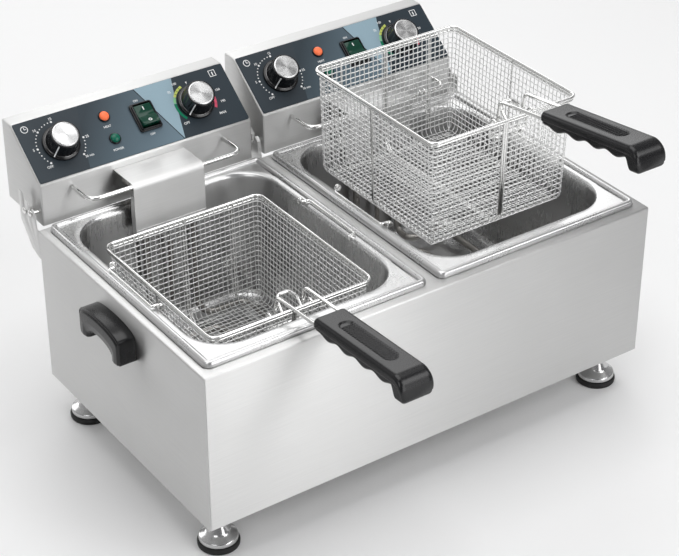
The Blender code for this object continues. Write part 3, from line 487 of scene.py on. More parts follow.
def across_grain(tree, coordinates, sideways):
    """Direction in each face at right angles to brushing that runs level round the object."""
    grain = node(tree, "ShaderNodeMix", data_type="VECTOR")
    tree.links.new(sideways, grain.inputs["Factor"])
    for name, axis in (("A", (1.0, 0.0, 0.0)), ("B", (0.0, 1.0, 0.0))):
        socket = next(entry for entry in grain.inputs if entry.name == name and entry.type == "VECTOR")
        socket.default_value = axis
    level = next(entry for entry in grain.outputs if entry.type == "VECTOR")
    cross = node(tree, "ShaderNodeVectorMath", operation="CROSS_PRODUCT")
    tree.links.new(coordinates.outputs["Normal"], cross.inputs[0])
    tree.links.new(level, cross.inputs[1])
    return cross.outputs["Vector"]


def surface(name, colour, metallic, roughness, *, stretch=(1, 1, 1), scale=400, tint=0.05, spread=0.05,
            depth=0.05, relief=0.0002, wear=0.06, two_way=False, second=None, **sockets):
    """A Principled material with fine grain, broad wear, and roughness and bump that follow them.

    tint and spread are how far grain moves the colour and the roughness, and wear is how far the
    broad patches move both. second is a colour that the broad patches lean towards.
    """
    material = bpy.data.materials.new(name)
    material.use_nodes = True
    tree = material.node_tree
    shader = tree.nodes["Principled BSDF"]
    shader.inputs["Metallic"].default_value = metallic
    for socket, value in sockets.items():
        shader.inputs[socket.replace("_", " ")].default_value = value
    coordinates = node(tree, "ShaderNodeTexCoord")
    places = coordinates.outputs["Object"]
    grain = noise(tree, places, stretch, scale)
    if two_way:
        turned_grain = noise(tree, places, (stretch[1], stretch[0], stretch[2]), scale)
        sideways = faces_sideways(tree, coordinates)
        grain = by_side(tree, sideways, grain, turned_grain)
        tree.links.new(across_grain(tree, coordinates, sideways), shader.inputs["Tangent"])
    patches = noise(tree, places, (1, 1, 1), 14.0, 2.0)
    dark = [part * (1 - tint) for part in colour]
    light = [min(1.0, part * (1 + tint)) for part in colour]
    body = mixed(tree, ranged(tree, grain, 0.0, 1.0), dark, light)
    worn = second or [part * (1 - wear) for part in colour]
    body = mixed(tree, ranged(tree, patches, 0.0, 0.5), body, worn)
    tree.links.new(body, shader.inputs["Base Color"])
    fine = ranged(tree, grain, roughness - spread, roughness + spread)
    broad = ranged(tree, patches, -wear, wear)
    total = node(tree, "ShaderNodeMath", operation="ADD", use_clamp=True)
    tree.links.new(fine, total.inputs[0])
    tree.links.new(broad, total.inputs[1])
    tree.links.new(total.outputs["Value"], shader.inputs["Roughness"])
    bump = node(tree, "ShaderNodeBump")
    bump.inputs["Strength"].default_value = depth
    bump.inputs["Distance"].default_value = relief
    tree.links.new(grain, bump.inputs["Height"])
    tree.links.new(bump.outputs["Normal"], shader.inputs["Normal"])
    return material


def radial_metal():
    """Spun aluminium: a fine grain round the knob's axis and a sheen that turns with it."""
    material = surface("spun_aluminium", (0.66, 0.66, 0.66), 1.0, 0.30, scale=900, tint=0.03,
                       Anisotropic=0.8)
    tree = material.node_tree
    tangent = node(tree, "ShaderNodeTangent", direction_type="RADIAL", axis="Z")
    tree.links.new(tangent.outputs["Tangent"], tree.nodes["Principled BSDF"].inputs["Tangent"])
    return material


def film_material(film):
    """Printed film: slate that turns lighter and bluer towards its lower right."""
    material = surface("panel_film_blend", (0.036, 0.050, 0.062), 0.0, 0.36, **film)
    tree = material.node_tree
    shader = tree.nodes["Principled BSDF"]
    coordinates = node(tree, "ShaderNodeTexCoord")
    split = node(tree, "ShaderNodeSeparateXYZ")
    tree.links.new(coordinates.outputs["Object"], split.inputs["Vector"])
    right = ranged(tree, split.outputs["X"], 0.0, 0.75, -0.060, 0.050)
    down = ranged(tree, split.outputs["Y"], 0.25, -0.15, 0.0, 0.075)
    total = node(tree, "ShaderNodeMath", operation="ADD", use_clamp=True)
    tree.links.new(right, total.inputs[0])
    tree.links.new(down, total.inputs[1])
    old = shader.inputs["Base Color"].links[0].from_socket
    blend = mixed(tree, total.outputs["Value"], old, (0.16, 0.23, 0.28))
    tree.links.new(blend, shader.inputs["Base Color"])
    return material


def make_materials():
    steel = (0.68, 0.68, 0.675)
    film = {"tint": 0.03, "spread": 0.03, "wear": 0.03, "scale": 900, "Specular_IOR_Level": 0.22}
    return {
        "brushed_steel": surface("brushed_steel", steel, 1.0, 0.44, stretch=(0.012, 1.0, 1.0), scale=1500,
                                 two_way=True, tint=0.04, spread=0.03, depth=0.03, wear=0.02,
                                 Anisotropic=0.9),
        "tank_steel": surface("drawn_steel", (0.64, 0.64, 0.64), 1.0, 0.29, stretch=(1.0, 1.0, 0.12),
                              scale=500, tint=0.02, spread=0.02, depth=0.012, wear=0.03),
        "polished_wire": surface("polished_wire", (0.86, 0.86, 0.85), 1.0, 0.12, scale=600, tint=0.04,
                                 spread=0.04, depth=0.03, wear=0.03),
        "mesh_wire": surface("woven_wire", (0.96, 0.96, 0.95), 0.6, 0.34, scale=500, tint=0.06,
                             spread=0.06, depth=0.02, wear=0.05),
        "element_steel": surface("element_steel", (0.45, 0.44, 0.42), 1.0, 0.34, scale=260, tint=0.10,
                                 spread=0.08, wear=0.10, second=(0.36, 0.33, 0.30)),
        "black_plastic": surface("moulded_black", (0.006, 0.006, 0.007), 0.0, 0.24, scale=1400, tint=0.15,
                                 spread=0.05, depth=0.08, relief=0.00008, wear=0.04,
                                 Specular_IOR_Level=0.42),
        "knob_plastic": surface("knob_black", (0.006, 0.006, 0.007), 0.0, 0.14, scale=900, tint=0.10,
                                spread=0.04, depth=0.02, wear=0.03, Specular_IOR_Level=0.45),
        "knob_line": surface("knob_line", (0.16, 0.16, 0.16), 1.0, 0.18, scale=900, tint=0.04),
        "switch_green": surface("rocker_green", (0.002, 0.045, 0.026), 0.0, 0.14, scale=500, tint=0.10,
                                spread=0.03, depth=0.01, wear=0.03, Specular_IOR_Level=0.35),
        "lamp_orange": surface("lens_orange", (0.90, 0.16, 0.06), 0.0, 0.22, scale=1300, tint=0.30,
                               spread=0.05, depth=0.8, wear=0.02, Emission_Strength=0.30,
                               Emission_Color=(1.0, 0.22, 0.09, 1.0), Specular_IOR_Level=0.35),
        "lamp_green": surface("lens_green", (0.003, 0.13, 0.08), 0.0, 0.16, scale=1300, tint=0.30,
                              spread=0.05, depth=0.6, wear=0.02, Specular_IOR_Level=0.35),
        "panel_slate": surface("panel_film", (0.030, 0.042, 0.053), 0.0, 0.36, **film),
        "panel_blend": film_material(film),
        "panel_left": surface("panel_film_left", (0.040, 0.052, 0.063), 0.0, 0.36, **film),
        "panel_sky": surface("panel_film_sky", (0.30, 0.42, 0.49), 0.0, 0.34, **film),
        "print_white": surface("print_white", (0.90, 0.91, 0.91), 0.0, 0.42, scale=900, tint=0.03),
        "print_black": surface("print_black", (0.006, 0.007, 0.008), 0.0, 0.40, **film),
        "print_green": surface("print_green", (0.006, 0.20, 0.10), 0.0, 0.42, **film),
        "print_lime": surface("print_lime", (0.26, 0.60, 0.30), 0.0, 0.42, **film),
        "print_yellow": surface("print_yellow", (0.62, 0.70, 0.16), 0.0, 0.42, **film),
        "print_red": surface("print_red", (0.70, 0.09, 0.16), 0.0, 0.42, **film),
        "knob_cap": radial_metal(),
        "foot_metal": surface("turned_steel", (0.60, 0.60, 0.60), 1.0, 0.20, stretch=(1.0, 1.0, 6.0),
                              scale=500, tint=0.05, spread=0.06, depth=0.05, wear=0.04),
        "black_rubber": surface("foot_rubber", (0.010, 0.010, 0.010), 0.0, 0.65, scale=800, tint=0.2,
                                spread=0.08, depth=0.3, wear=0.06),
        "component_plastic": surface("component_case", (0.55, 0.53, 0.48), 0.0, 0.50, scale=500,
                                     tint=0.06, depth=0.1),
    }


MATERIALS = make_materials()


def add(name, data, material, body, replaces=(), place=None, angle=35, slot=None):
    """Put a finished piece in the scene, on its body, and hide the nodes it replaces.

    The slot argument is not used.
    """
    item = bpy.data.objects.new(name, data)
    bpy.context.scene.collection.objects.link(item)
    if place is not None:
        item.matrix_world = place
    data.materials.clear()
    data.materials.append(MATERIALS[material])
    smoothed(data, angle)
    slot = slot or material
    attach(item, body)
    if replaces:
        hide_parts(*replaces)
    return item


def refinish(node_name, material):
    """Give a carried-over CAD node its material."""
    item = frame["nodes"][node_name]
    item.data.materials.clear()
    item.data.materials.append(MATERIALS[material])


# ---------------------------------------------------------------- body
def ear_outline(root_y, root_top):
    """Hook plate behind the body, in Y and Z: three tabs with two open notches for the head's pins."""
    rear = BODY_REAR
    slot = PIN_RADIUS + 0.0005
    tops = (DECK + 0.0220, DECK + 0.0270, DECK + 0.0320)
    outline = [(root_y, DECK - 0.0354), (rear + 0.0036, DECK - 0.0354, 0.010)]
    outline.append((rear + 0.0190, DECK - 0.0300, 0.004))
    outline += [(rear + 0.0410, DECK - 0.0040, 0.006), (rear + 0.0412, tops[2], 0.0025)]
    outline += [(rear + 0.0350, tops[2] - 0.0010, 0.0025)]
    for index in (1, 0):
        centre_y = HEAD_FACE + PINS[index][0]
        centre_z = HEAD_BOTTOM + PINS[index][1]
        outline.append((centre_y + slot, tops[index + 1] - 0.0050, 0.003))
        outline += arc_points(slot, 0.0, -math.pi, 12, (centre_y, centre_z))
        outline.append((centre_y - slot, tops[index], 0.002))
    outline += [(rear + 0.0062, tops[0] - 0.0045, 0.001), (rear + 0.0045, DECK + 0.0015)]
    outline += [(rear + 0.0030, root_top), (root_y, root_top)]
    return filleted(outline, 5, closed=True)


def make_body():
    outline = [(BODY_FRONT, BODY_LOW), (BODY_FRONT, DECK), (BODY_REAR, DECK), (BODY_REAR, BODY_LOW)]
    cover = folded_cover(outline, BODY_HALF, 0.0022)
    wells = []
    for side in (LEFT, RIGHT):
        rim = rounded_rectangle(OPENING_WIDTH + 0.008, OPENING_LENGTH + 0.008, OPENING_RADIUS + 0.004)
        well = slab(flattened(rim), -0.01, 0.01)
        wells.append(moved(well, side.x, OPENING_MIDDLE, DECK))
    add("body_cover", cut(cover, *wells), "brushed_steel", "base", ["housing"])
    ear = ear_outline(BODY_REAR, DECK)
    for name, sign in SIDES:
        low, high = sorted((sign * BODY_HALF, sign * (BODY_HALF - SHEET)))
        plate = across(slab(ear, low, high, 0.00025, 2))
        add(f"ear_{name}", plate, "brushed_steel", "base")
    refinish("base_pan", "brushed_steel")


def side_handle_mesh(low, high):
    """A thick arched bar on two feet, with a crowned outer face set off by a groove from its top band."""
    middle = (low.y + high.y) / 2
    half = (high.y - low.y) / 2
    height = high.z - low.z
    near = abs(high.x)
    reach = abs(low.x) - near
    thickness = 0.020
    section = [(0.0, 0.0), (reach - 0.0045, 0.0, 0.002), (reach - 0.0012, 0.10 * thickness, 0.003)]
    section += [(reach, 0.45 * thickness, 0.006), (reach - 0.0004, 0.82 * thickness, 0.002)]
    section += [(reach - 0.0022, 0.91 * thickness, 0.0005), (reach - 0.0012, 0.95 * thickness, 0.0005)]
    section += [(reach - 0.0026, thickness, 0.0012), (0.0, thickness)]
    profile = [(out, along / thickness) for out, along in filleted(section, 5)]

    def ring(angle, leg, shrink=0.0):
        along, rise = math.cos(angle), max(0.0, math.sin(angle))
        inner = Vector((middle + (half - 0.0165) * along, 0.0020 * leg + 0.0100 * rise))
        outer = Vector((middle + half * along, (height - 0.0105) * leg + 0.0105 * rise ** 0.8))
        points = []
        for out, share in profile:
            spot = inner.lerp(outer, 0.5 + (share - 0.5) * (1 - shrink))
            points.append(Vector((-(near + out * (1 - 0.35 * shrink)), spot.x, low.z + spot.y)))
        return points

    feet = [(0.0, 0.20), (0.02, 0.07), (0.06, 0.02), (0.12, 0.0), (0.4, 0.0), (0.75, 0.0)]
    rings = [ring(0.0, leg, shrink) for leg, shrink in feet]
    steps = 48
    rings += [ring(math.pi * step / steps, 1.0) for step in range(steps + 1)]
    rings += [ring(math.pi, leg, shrink) for leg, shrink in reversed(feet)]
    return loft(rings, cap_start=True, cap_end=True)


def make_side_handles():
    arch = side_handle_mesh(*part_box("side_handle_left"))
    mirrored = placed(arch, Matrix.Diagonal((-1.0, 1.0, 1.0, 1.0)))
    mirrored.flip_normals()
    for name, mesh in (("left", arch), ("right", mirrored)):
        add(f"side_handle_{name}_arch", mesh, "black_plastic", "base", [f"side_handle_{name}"])


def make_feet():
    """A polished bell with a narrow neck, its locknut and a rubber pad."""
    top = BODY_LOW
    bell = [(0.0, top - 0.010), (0.0070, top - 0.010, 0.001), (0.0082, top - 0.0125, 0.002)]
    bell += [(0.0074, top - 0.0225, 0.006), (0.0120, 0.0165, 0.008), (0.0200, 0.0118, 0.003)]
    bell += [(0.0205, 0.0098, 0.0012), (0.0205, 0.0072, 0.0008), (0.0, 0.0068)]
    bell_mesh = turned(filleted(bell, 6))
    stem_low, stem_top, stem_radius = top - 0.0095, top - 0.0003, 0.0045
    stem = turned([(0.0, stem_top), (stem_radius, stem_top), (stem_radius, stem_low), (0.0, stem_low)], 32)
    nut = slab(hexagon(0.0100), top - 0.0060, top - 0.0005, 0.0008, 3)
    metal = joined([bell_mesh, stem, nut])
    pad = turned(filleted([(0.0, 0.0065), (0.0214, 0.0065, 0.0010), (0.0222, 0.0040, 0.002),
                           (0.0218, 0.0, 0.0012), (0.0, 0.0)], 5))
    for row in ("front", "rear"):
        for name, _ in SIDES:
            place = Matrix.Translation(JOINTS[f"foot_{row}_{name}_screw"]["pos_m"])
            body = f"foot_{row}_{name}"
            add(f"{body}_metal", metal, "foot_metal", body, [f"foot_bell_{row}_{name}"], place)
            add(f"{body}_rubber", pad, "black_rubber", body, [f"foot_pad_{row}_{name}"], place)


# ---------------------------------------------------------------- tanks
def tank_mesh():
    """Drawn tank: turned-down lip, raised bead, flat flange, round-cornered well and filleted floor."""
    middle = Vector((0.0, TANK_MIDDLE, 0.0))
    opening = Vector((0.0, OPENING_MIDDLE, 0.0))
    plane = FLANGE_TOP - SHEET / 2
    rings = []
    outer = [(0.0, DECK + 0.0008 - plane)]
    for step in range(11):
        angle = math.pi * (1 - step / 10)
        outer.append((0.0033 + 0.0033 * math.cos(angle), 0.0034 * math.sin(angle)))
    outer.append((0.0080, 0.0))
    for inset, rise in outer:
        ring = rounded_rectangle(TANK_WIDTH - 2 * inset, TANK_LENGTH - 2 * inset,
                                 max(0.0075 - inset, 0.0012), plane + rise)
        rings.append([point + middle for point in ring])
    depth = TANK_DEPTH - SHEET
    wall = filleted([(-0.0060, 0.0), (0.0, 0.0), (0.0012, 0.0008), (0.0026, 0.0042), (0.0044, depth, 0.020),
                     (0.0300, depth)], 8)
    for inset, drop in wall:
        ring = rounded_rectangle(OPENING_WIDTH - 2 * inset, OPENING_LENGTH - 2 * inset,
                                 OPENING_RADIUS - inset, plane - drop)
        rings.append([point + opening for point in ring])
    return thickened(loft(rings, cap_end=True), SHEET, 0.0)


def lug_mesh():
    """A small staple over the bail's end, about the pivot, long along Y."""
    half, foot = 0.0034, -0.0024
    outline = [(half, foot)] + arc_points(half, 0.0, math.pi, 12) + [(-half, foot)]
    staple = slab(outline, -0.00225, 0.00225, 0.0004, 2)
    staple.transform(Matrix.Rotation(math.pi / 2, 4, "X"))
    return staple


def make_tanks():
    tank = tank_mesh()
    lug = lug_mesh()
    length, wire, reach = 0.088, 0.0015, 0.0080
    tip = length / 2 + 0.0052
    for side in (LEFT, RIGHT):
        body = f"{side.name}_tank"
        add(f"{side.name}_tank_pan", tank, "tank_steel", body, [f"{side.name}_oil_tank"], side.shift,
            angle=50)
        lugs = []
        for label, outward in (("outer", side.sign), ("inner", -side.sign)):
            bail = f"{side.name}_tank_bail_{label}"
            pivot = Vector(JOINTS[f"{bail}_fold"]["pos_m"])
            half = length / 2 - wire
            path = [(0, -tip, 0), (0, -half, 0), (outward * reach, -half, 0)]
            path += [(x, -y, z) for x, y, z in reversed(path)]
            bail_wire = wires([(rounded_path(path, 0.003), False)], wire)
            add(f"{bail}_wire", bail_wire, "polished_wire", bail, [bail], Matrix.Translation(pivot),
                WIRE_SMOOTHING)
            for end in (-1, 1):
                lugs.append(moved(lug, pivot.x, pivot.y + end * (length / 2 + 0.00345), pivot.z))
        add(f"{side.name}_bail_lugs", joined(lugs), "polished_wire", body, slot="tank_steel")


# ---------------------------------------------------------------- control heads
def slope_place(side, x, height, out=0.0):
    return side.slope @ Matrix.Translation((x, height, out))


def text_mesh(words, size, x, y):
    """Generic lettering, centred on a point of the panel."""
    data = bpy.data.curves.new("print", "FONT")
    data.body = words
    data.size = size
    data.align_x = "CENTER"
    data.align_y = "CENTER"
    data.extrude = PRINT / 2
    data.offset = size * 0.012
    data.resolution_u = 3
    mesh = realised(temporary(data))
    mesh.transform(Matrix.Translation((x, y, PANEL_FACE + 1.5 * PRINT)))
    return mesh


def flat_shape(outline, layer=1):
    return slab(outline, PANEL_FACE, PANEL_FACE + layer * PRINT)


def ring_sector(centre, start, sweep, outer, inner, steps):
    """Outline of a part of a ring, with its angles in degrees, anticlockwise from +X."""
    start, sweep = math.radians(start), math.radians(sweep)
    far, near = (arc_points(radius, start, sweep, steps, centre) for radius in (outer, inner))
    return far + near[::-1]


def arc_shape(start, sweep, inner=0.0222, outer=0.0252):
    """A coloured arc of the thermostat's scale, clockwise from its start."""
    steps = max(3, int(sweep / 4))
    return flat_shape(ring_sector((THERMOSTAT_X, DIAL_HEIGHT), start, -sweep, outer, inner, steps), 2)


def dot_shape(x, y, radius):
    return flat_shape(arc_points(radius, 0.0, math.tau, 12, (x, y))[:-1], 2)


def ring_shape(x, y, outer, inner):
    """A printed circle line, made of two half rings."""
    return [flat_shape(ring_sector((x, y), start, 180, outer, inner, 12), 2) for start in (0, 180)]


def on_dial(x, degrees, reach, tall_reach=None):
    """A point at a distance from a dial's centre, which may be another distance up and down."""
    angle = math.radians(degrees)
    return x + reach * math.cos(angle), DIAL_HEIGHT + (tall_reach or reach) * math.sin(angle)


def panel_print():
    """White marks on one panel: both scales, two symbols and plain function words."""
    marks = []
    for minute in range(31):
        if 15 < minute < 25:
            continue
        size = 0.00125 if minute % 5 == 0 else 0.00075
        marks.append(dot_shape(*on_dial(TIMER_X, OFF_ANGLE - minute * MINUTE, 0.0268), size))
    for minute in (5, 10, 15, 25):
        spot = on_dial(TIMER_X, OFF_ANGLE - minute * MINUTE, 0.0312, 0.0305)
        marks.append(text_mesh(str(minute), 0.0042, *spot))
    for degrees, label in ((140, "75"), (116, "100"), (12, "150"), (-14, "190"), (-40, "MAX")):
        reach = 0.0310 if degrees > 90 else 0.0325
        marks.append(text_mesh(label, 0.0040, *on_dial(THERMOSTAT_X, degrees, reach)))
    for degrees in (88, 52):
        tip = Vector(on_dial(THERMOSTAT_X, degrees, 0.0235))
        along = Vector((math.cos(math.radians(degrees)), math.sin(math.radians(degrees))))
        wide = Vector((-along.y, along.x)) * 0.0011
        marks.append(flat_shape([tip, tip + along * 0.0032 - wide, tip + along * 0.0032 + wide], 2))
    for words, size, x, y in (("30 min", 0.0038, -0.0640, 0.0165), ("OFF", 0.0042, -0.1105, 0.0170),
                              ("OFF", 0.0042, 0.0575, 0.0185), ("ON", 0.0036, SWITCH_X - 0.0020, 0.0610),
                              ("OFF", 0.0036, SWITCH_X - 0.0010, 0.0185),
                              ("HEAT", 0.0036, LAMP_X - 0.0012, 0.0420),
                              ("POWER", 0.0036, LAMP_X - 0.0012, 0.0135)):
        marks.append(text_mesh(words, size, x, y))
    marks += ring_shape(-0.1187, 0.0659, 0.0042, 0.0034)
    clock_hands = (((-0.1191, 0.0655), (-0.1183, 0.0687)), ((-0.1187, 0.0655), (-0.1163, 0.0662)))
    boxed_sign = (((0.1100, 0.0625), (0.1180, 0.0632)), ((0.1100, 0.0698), (0.1180, 0.0705)),
                  ((0.1100, 0.0632), (0.1107, 0.0698)), ((0.1173, 0.0632), (0.1180, 0.0698)),
                  ((0.1134, 0.0640), (0.1146, 0.0682)))
    for low, high in clock_hands + boxed_sign:
        marks.append(flat_shape([low, (high[0], low[1]), high, (low[0], high[1])], 2))
    return joined(marks)


def switch_hole(half_width, half_height):
    """What a rectangular opening for the switch takes out of a panel."""
    return block((SWITCH_X - half_width, SWITCH_HEIGHT - half_height, -0.01),
                 (SWITCH_X + half_width, SWITCH_HEIGHT + half_height, 0.01))


def panel_layers():
    """The film's coloured zones and the scales, drawn on the panel: name, shape, material."""
    low, high = 0.0022, 0.0748
    left = [(-0.1293, low), (-0.0703, low), (-0.0525, high), (-0.1293, high)]
    middle = [(-0.0703, low), (0.0460, low), (0.0166, high), (-0.0525, high)]
    strip = [(0.0470, low), (0.0524, 0.0261), (0.0626, 0.0662), (0.0652, high), (0.0178, high)]
    line = [(0.0460, low), (0.0470, low), (0.0178, high), (0.0166, high)]
    hole = switch_hole(0.0120, 0.0160)
    middle, strip, line = (cut(flat_shape(outline), hole) for outline in (middle, strip, line))
    layers = [("zone_left", flat_shape(left), "panel_left"), ("zone_middle", middle, "panel_blend"),
              ("zone_strip", strip, "panel_sky"), ("zone_line", line, "print_black")]
    for colour, sweep, starts in (("green", 52, (220,)), ("lime", 16, (166,)),
                                  ("yellow", 9, (148, 137.5, 127, 116.5)), ("red", 12, (6, -7, -20))):
        arcs = [arc_shape(start, sweep) for start in starts]
        layers.append((f"scale_{colour}", joined(arcs), f"print_{colour}"))
    return layers


def knob_mesh():
    """Black knob: flat flange, fluted body that narrows upwards and a rounded shoulder."""
    profile = [(0.0, KNOB_TOP - 0.0010), (0.0146, KNOB_TOP - 0.0010), (0.0146, KNOB_TOP)]
    profile += [(0.0160, KNOB_TOP, 0.0010), (0.0168, 0.0120), (0.0174, 0.0064)]
    profile += [(0.0178, 0.0050, 0.0010), (0.0206, 0.0044, 0.0012)]
    profile += [(0.0208, 0.0030), (0.0208, KNOB_FOOT, 0.0004), (0.0, KNOB_FOOT)]
    mesh = turned(filleted(profile, 5), 120)
    flutes, low, high = 14, 0.0060, KNOB_TOP - 0.0004
    for vertex in mesh.vertices:
        radius = math.hypot(vertex.co.x, vertex.co.y)
        if radius < 0.0150 or vertex.co.z < low or vertex.co.z > high:
            continue
        angle = math.atan2(vertex.co.y, vertex.co.x)
        hollow = max(0.0, math.cos(angle * flutes)) ** 1.5
        fade = min(1.0, (vertex.co.z - low) / 0.0030) * min(1.0, (high - vertex.co.z) / 0.0020)
        keep = 1 - 0.0011 * hollow * fade / radius
        vertex.co.x *= keep
        vertex.co.y *= keep
    return mesh


def knob_pointer():
    """White line down the knob's side and across its flange, towards OFF."""
    path = [(0.01635, 0.0206), (0.0170, 0.0120), (0.0176, 0.0068), (0.0182, 0.0054), (0.0205, 0.0047)]
    work = bmesh.new()
    rows = []
    for radius, height in path:
        rows.append([work.verts.new((radius, side * 0.00065, height)) for side in (-1, 1)])
    for first, second in zip(rows, rows[1:]):
        work.faces.new((first[0], first[1], second[1], second[0]))
    line = thickened(from_bmesh(work), 0.0004, 0.0)
    line.transform(Matrix.Rotation(math.radians(OFF_ANGLE), 4, "Z"))
    return line


def knob_ring():
    profile = [(0.0177, 0.0046), (0.0184, 0.0046), (0.0184, 0.0052, 0.0002), (0.0177, 0.0056, 0.0002)]
    return turned(filleted(profile, 3, closed=True), 96, closed=True)


def knob_cap():
    """Spun aluminium disc with a bright rounded edge."""
    profile = [(0.0, 0.0229), (0.0126, 0.0228), (0.0130, 0.0231, 0.0003), (0.0144, 0.0227, 0.0008),
               (0.0145, KNOB_TOP - 0.0010, 0.0002), (0.0, KNOB_TOP - 0.0012)]
    return turned(filleted(profile, 5), 96)


def bezel_mesh():
    """Switch surround in two steps, hollow for the rocker."""

    def outline(width, length, radius):
        return flattened(rounded_rectangle(width, length, radius, 0, 6))

    low = FITTING_LOW
    flange = slab(outline(0.0275, 0.0345, 0.0030), low, low + 0.0026, 0.0008, 3)
    collar = slab(outline(0.0246, 0.0318, 0.0030), low + 0.0020, low + 0.0046, 0.0008, 3)
    pocket = slab(outline(0.0214, 0.0302, 0.0012), -0.0098, 0.0200)
    cup = block((-0.0120, -0.0158, -0.0210), (0.0120, 0.0158, low + 0.0010), 0.0005)
    return joined([cut(solid, pocket) for solid in (flange, collar, cup)])


def rocker_mesh():
    outline = filleted([(-0.0126, 0.0083, 0.0012), (-0.0108, 0.0088, 0.0010), (-0.0050, 0.0062, 0.012),
                        (0.0005, 0.0041, 0.012), (0.0131, 0.0036, 0.0008), (0.0135, 0.0026, 0.0006),
                        (0.0118, -0.0060, 0.002), (0.0060, -0.0088, 0.002), (-0.0060, -0.0088, 0.002),
                        (-0.0118, -0.0060, 0.002)], 5, closed=True)
    return across(slab(outline, -0.0103, 0.0103, 0.0009, 3))


def rocker_marks():
    """White bar on the rocker's upper half and white ring on its lower half."""
    bar = block((-0.0006, -0.0021, 0.0), (0.0006, 0.0021, 0.0003))
    ring = turned([(0.0012, 0.0), (0.0021, 0.0), (0.0021, 0.0003), (0.0012, 0.0003)], 32, closed=True)
    upper = Matrix.Translation((0.0, 0.0085, 0.0037))
    lower = Matrix.Translation((0.0, -0.0078, 0.0074)) @ Matrix.Rotation(math.radians(-24), 4, "X")
    return joined([placed(bar, upper), placed(ring, lower)])


def lamp_meshes():
    """A dark collar and a domed lens with a stepped rim."""
    low, radius, stem_radius, stem_low = FITTING_LOW, 0.0053, 0.0044, -0.0150
    collar = turned(filleted([(0.0054, low), (0.0066, low), (0.0066, 0.0026, 0.0006),
                              (0.0056, 0.0032, 0.0003), (0.0054, 0.0026)], 4, closed=True), 48, closed=True)
    lens = [(0.0, 0.0062)]
    for step in range(1, 9):
        angle = step * math.pi / 16
        lens.append((radius * math.sin(angle), 0.0034 + 0.0028 * math.cos(angle)))
    lens += [(radius, low), (stem_radius, low), (stem_radius, stem_low, 0.0008), (0.0, stem_low)]
    return collar, turned(filleted(lens, 3), 48)


def head_cover(outboard):
    """Folded cover with its openings, and its hanging pins with round heads."""
    slope_foot = HEAD_BOTTOM + 0.048
    outline = [(HEAD_FACE, HEAD_BOTTOM), (HEAD_FACE, slope_foot), (HEAD_REAR - 0.0177, HEAD_TOP),
               (HEAD_REAR, HEAD_TOP), (HEAD_REAR, HEAD_BOTTOM)]
    cover = folded_cover(outline, HEAD_HALF, 0.0019)
    local = Matrix.Translation((-LEFT.x, 0.0, 0.0)) @ LEFT.slope
    holes = [placed(rod(0.0045, (x, DIAL_HEIGHT, -0.01), (x, DIAL_HEIGHT, 0.01)), local)
             for x in (TIMER_X, THERMOSTAT_X)]
    holes += [placed(rod(0.0049, (LAMP_X, height, -0.01), (LAMP_X, height, 0.01)), local)
              for height in (HEAT_HEIGHT, POWER_HEIGHT)]
    holes.append(placed(switch_hole(0.0125, 0.0163), local))
    for x in (-ELEMENT_LEG_X, ELEMENT_LEG_X):
        holes.append(rod(0.0046, (x, HEAD_FACE - 0.01, ELEMENT_EXIT), (x, HEAD_FACE + 0.01, ELEMENT_EXIT)))
    cover = cut(cover, *holes)
    pins = []
    for behind, above in PINS:
        y, z = HEAD_FACE + behind, HEAD_BOTTOM + above
        pins.append(rod(PIN_RADIUS, (outboard * 0.1305, y, z), (outboard * 0.1420, y, z)))
        pins.append(rod(PIN_RADIUS, (-outboard * 0.1305, y, z), (-outboard * 0.1386, y, z)))
        pins.append(pin_head(outboard, y, z))
    return cover, joined(pins)


def pin_head(outboard, y, z):
    profile = [(0.0, 0.0022), (0.0020, 0.0020, 0.001), (0.0036, 0.0010, 0.0008), (0.0036, 0.0), (0.0, 0.0)]
    head = turned(filleted(profile, 4), 32)
    turn = Matrix.Rotation(outboard * math.pi / 2, 4, "Y")
    return placed(head, Matrix.Translation((outboard * 0.1413, y, z)) @ turn)


def guard_mesh():
    """Bent cover over the element's legs: a plate over the rail, a round front bend and a folded hem."""
    half = 0.0435
    front = RAIL_Y - RAIL_WIRE - CLEARANCE - SHEET
    top = RAIL_Z + RAIL_WIRE + CLEARANCE + SHEET
    low = DECK - 0.023
    path = filleted([(HEAD_FACE - 0.0003, top - SHEET / 2), (front + SHEET / 2, top - SHEET / 2, 0.0070),
                     (front + SHEET / 2, low + 0.0006)], 10)
    work = bmesh.new()
    rows = [[work.verts.new((x, y, z)) for x in (-half, half)] for y, z in path]
    for first, second in zip(rows, rows[1:]):
        work.faces.new((first[0], first[1], second[1], second[0]))
    plate = thickened(from_bmesh(work), SHEET, 0.0)
    parts = [plate]
    flange_top = RAIL_Z - RAIL_WIRE - 0.0085
    for side in (-1, 1):
        low_x, high_x = sorted((side * half, side * (half - SHEET)))
        near, far = front + 0.0006, front + 0.0085
        outline = [(near, low), (far, low, 0.001), (far, flange_top, 0.003), (near, flange_top)]
        parts.append(across(slab(filleted(outline, 4, closed=True), low_x, high_x, 0.0002, 1)))
    hem_y, hem_top = front + SHEET, low + 0.0050
    parts.append(block((-half + 0.001, hem_y, low), (half - 0.001, hem_y + 0.0008, hem_top), 0.0003))
    crease_y, crease_z = front + 0.0002, low + 0.0052
    parts.append(rod(0.0008, (-half, crease_y, crease_z), (half, crease_y, crease_z), 12))
    return joined(parts)


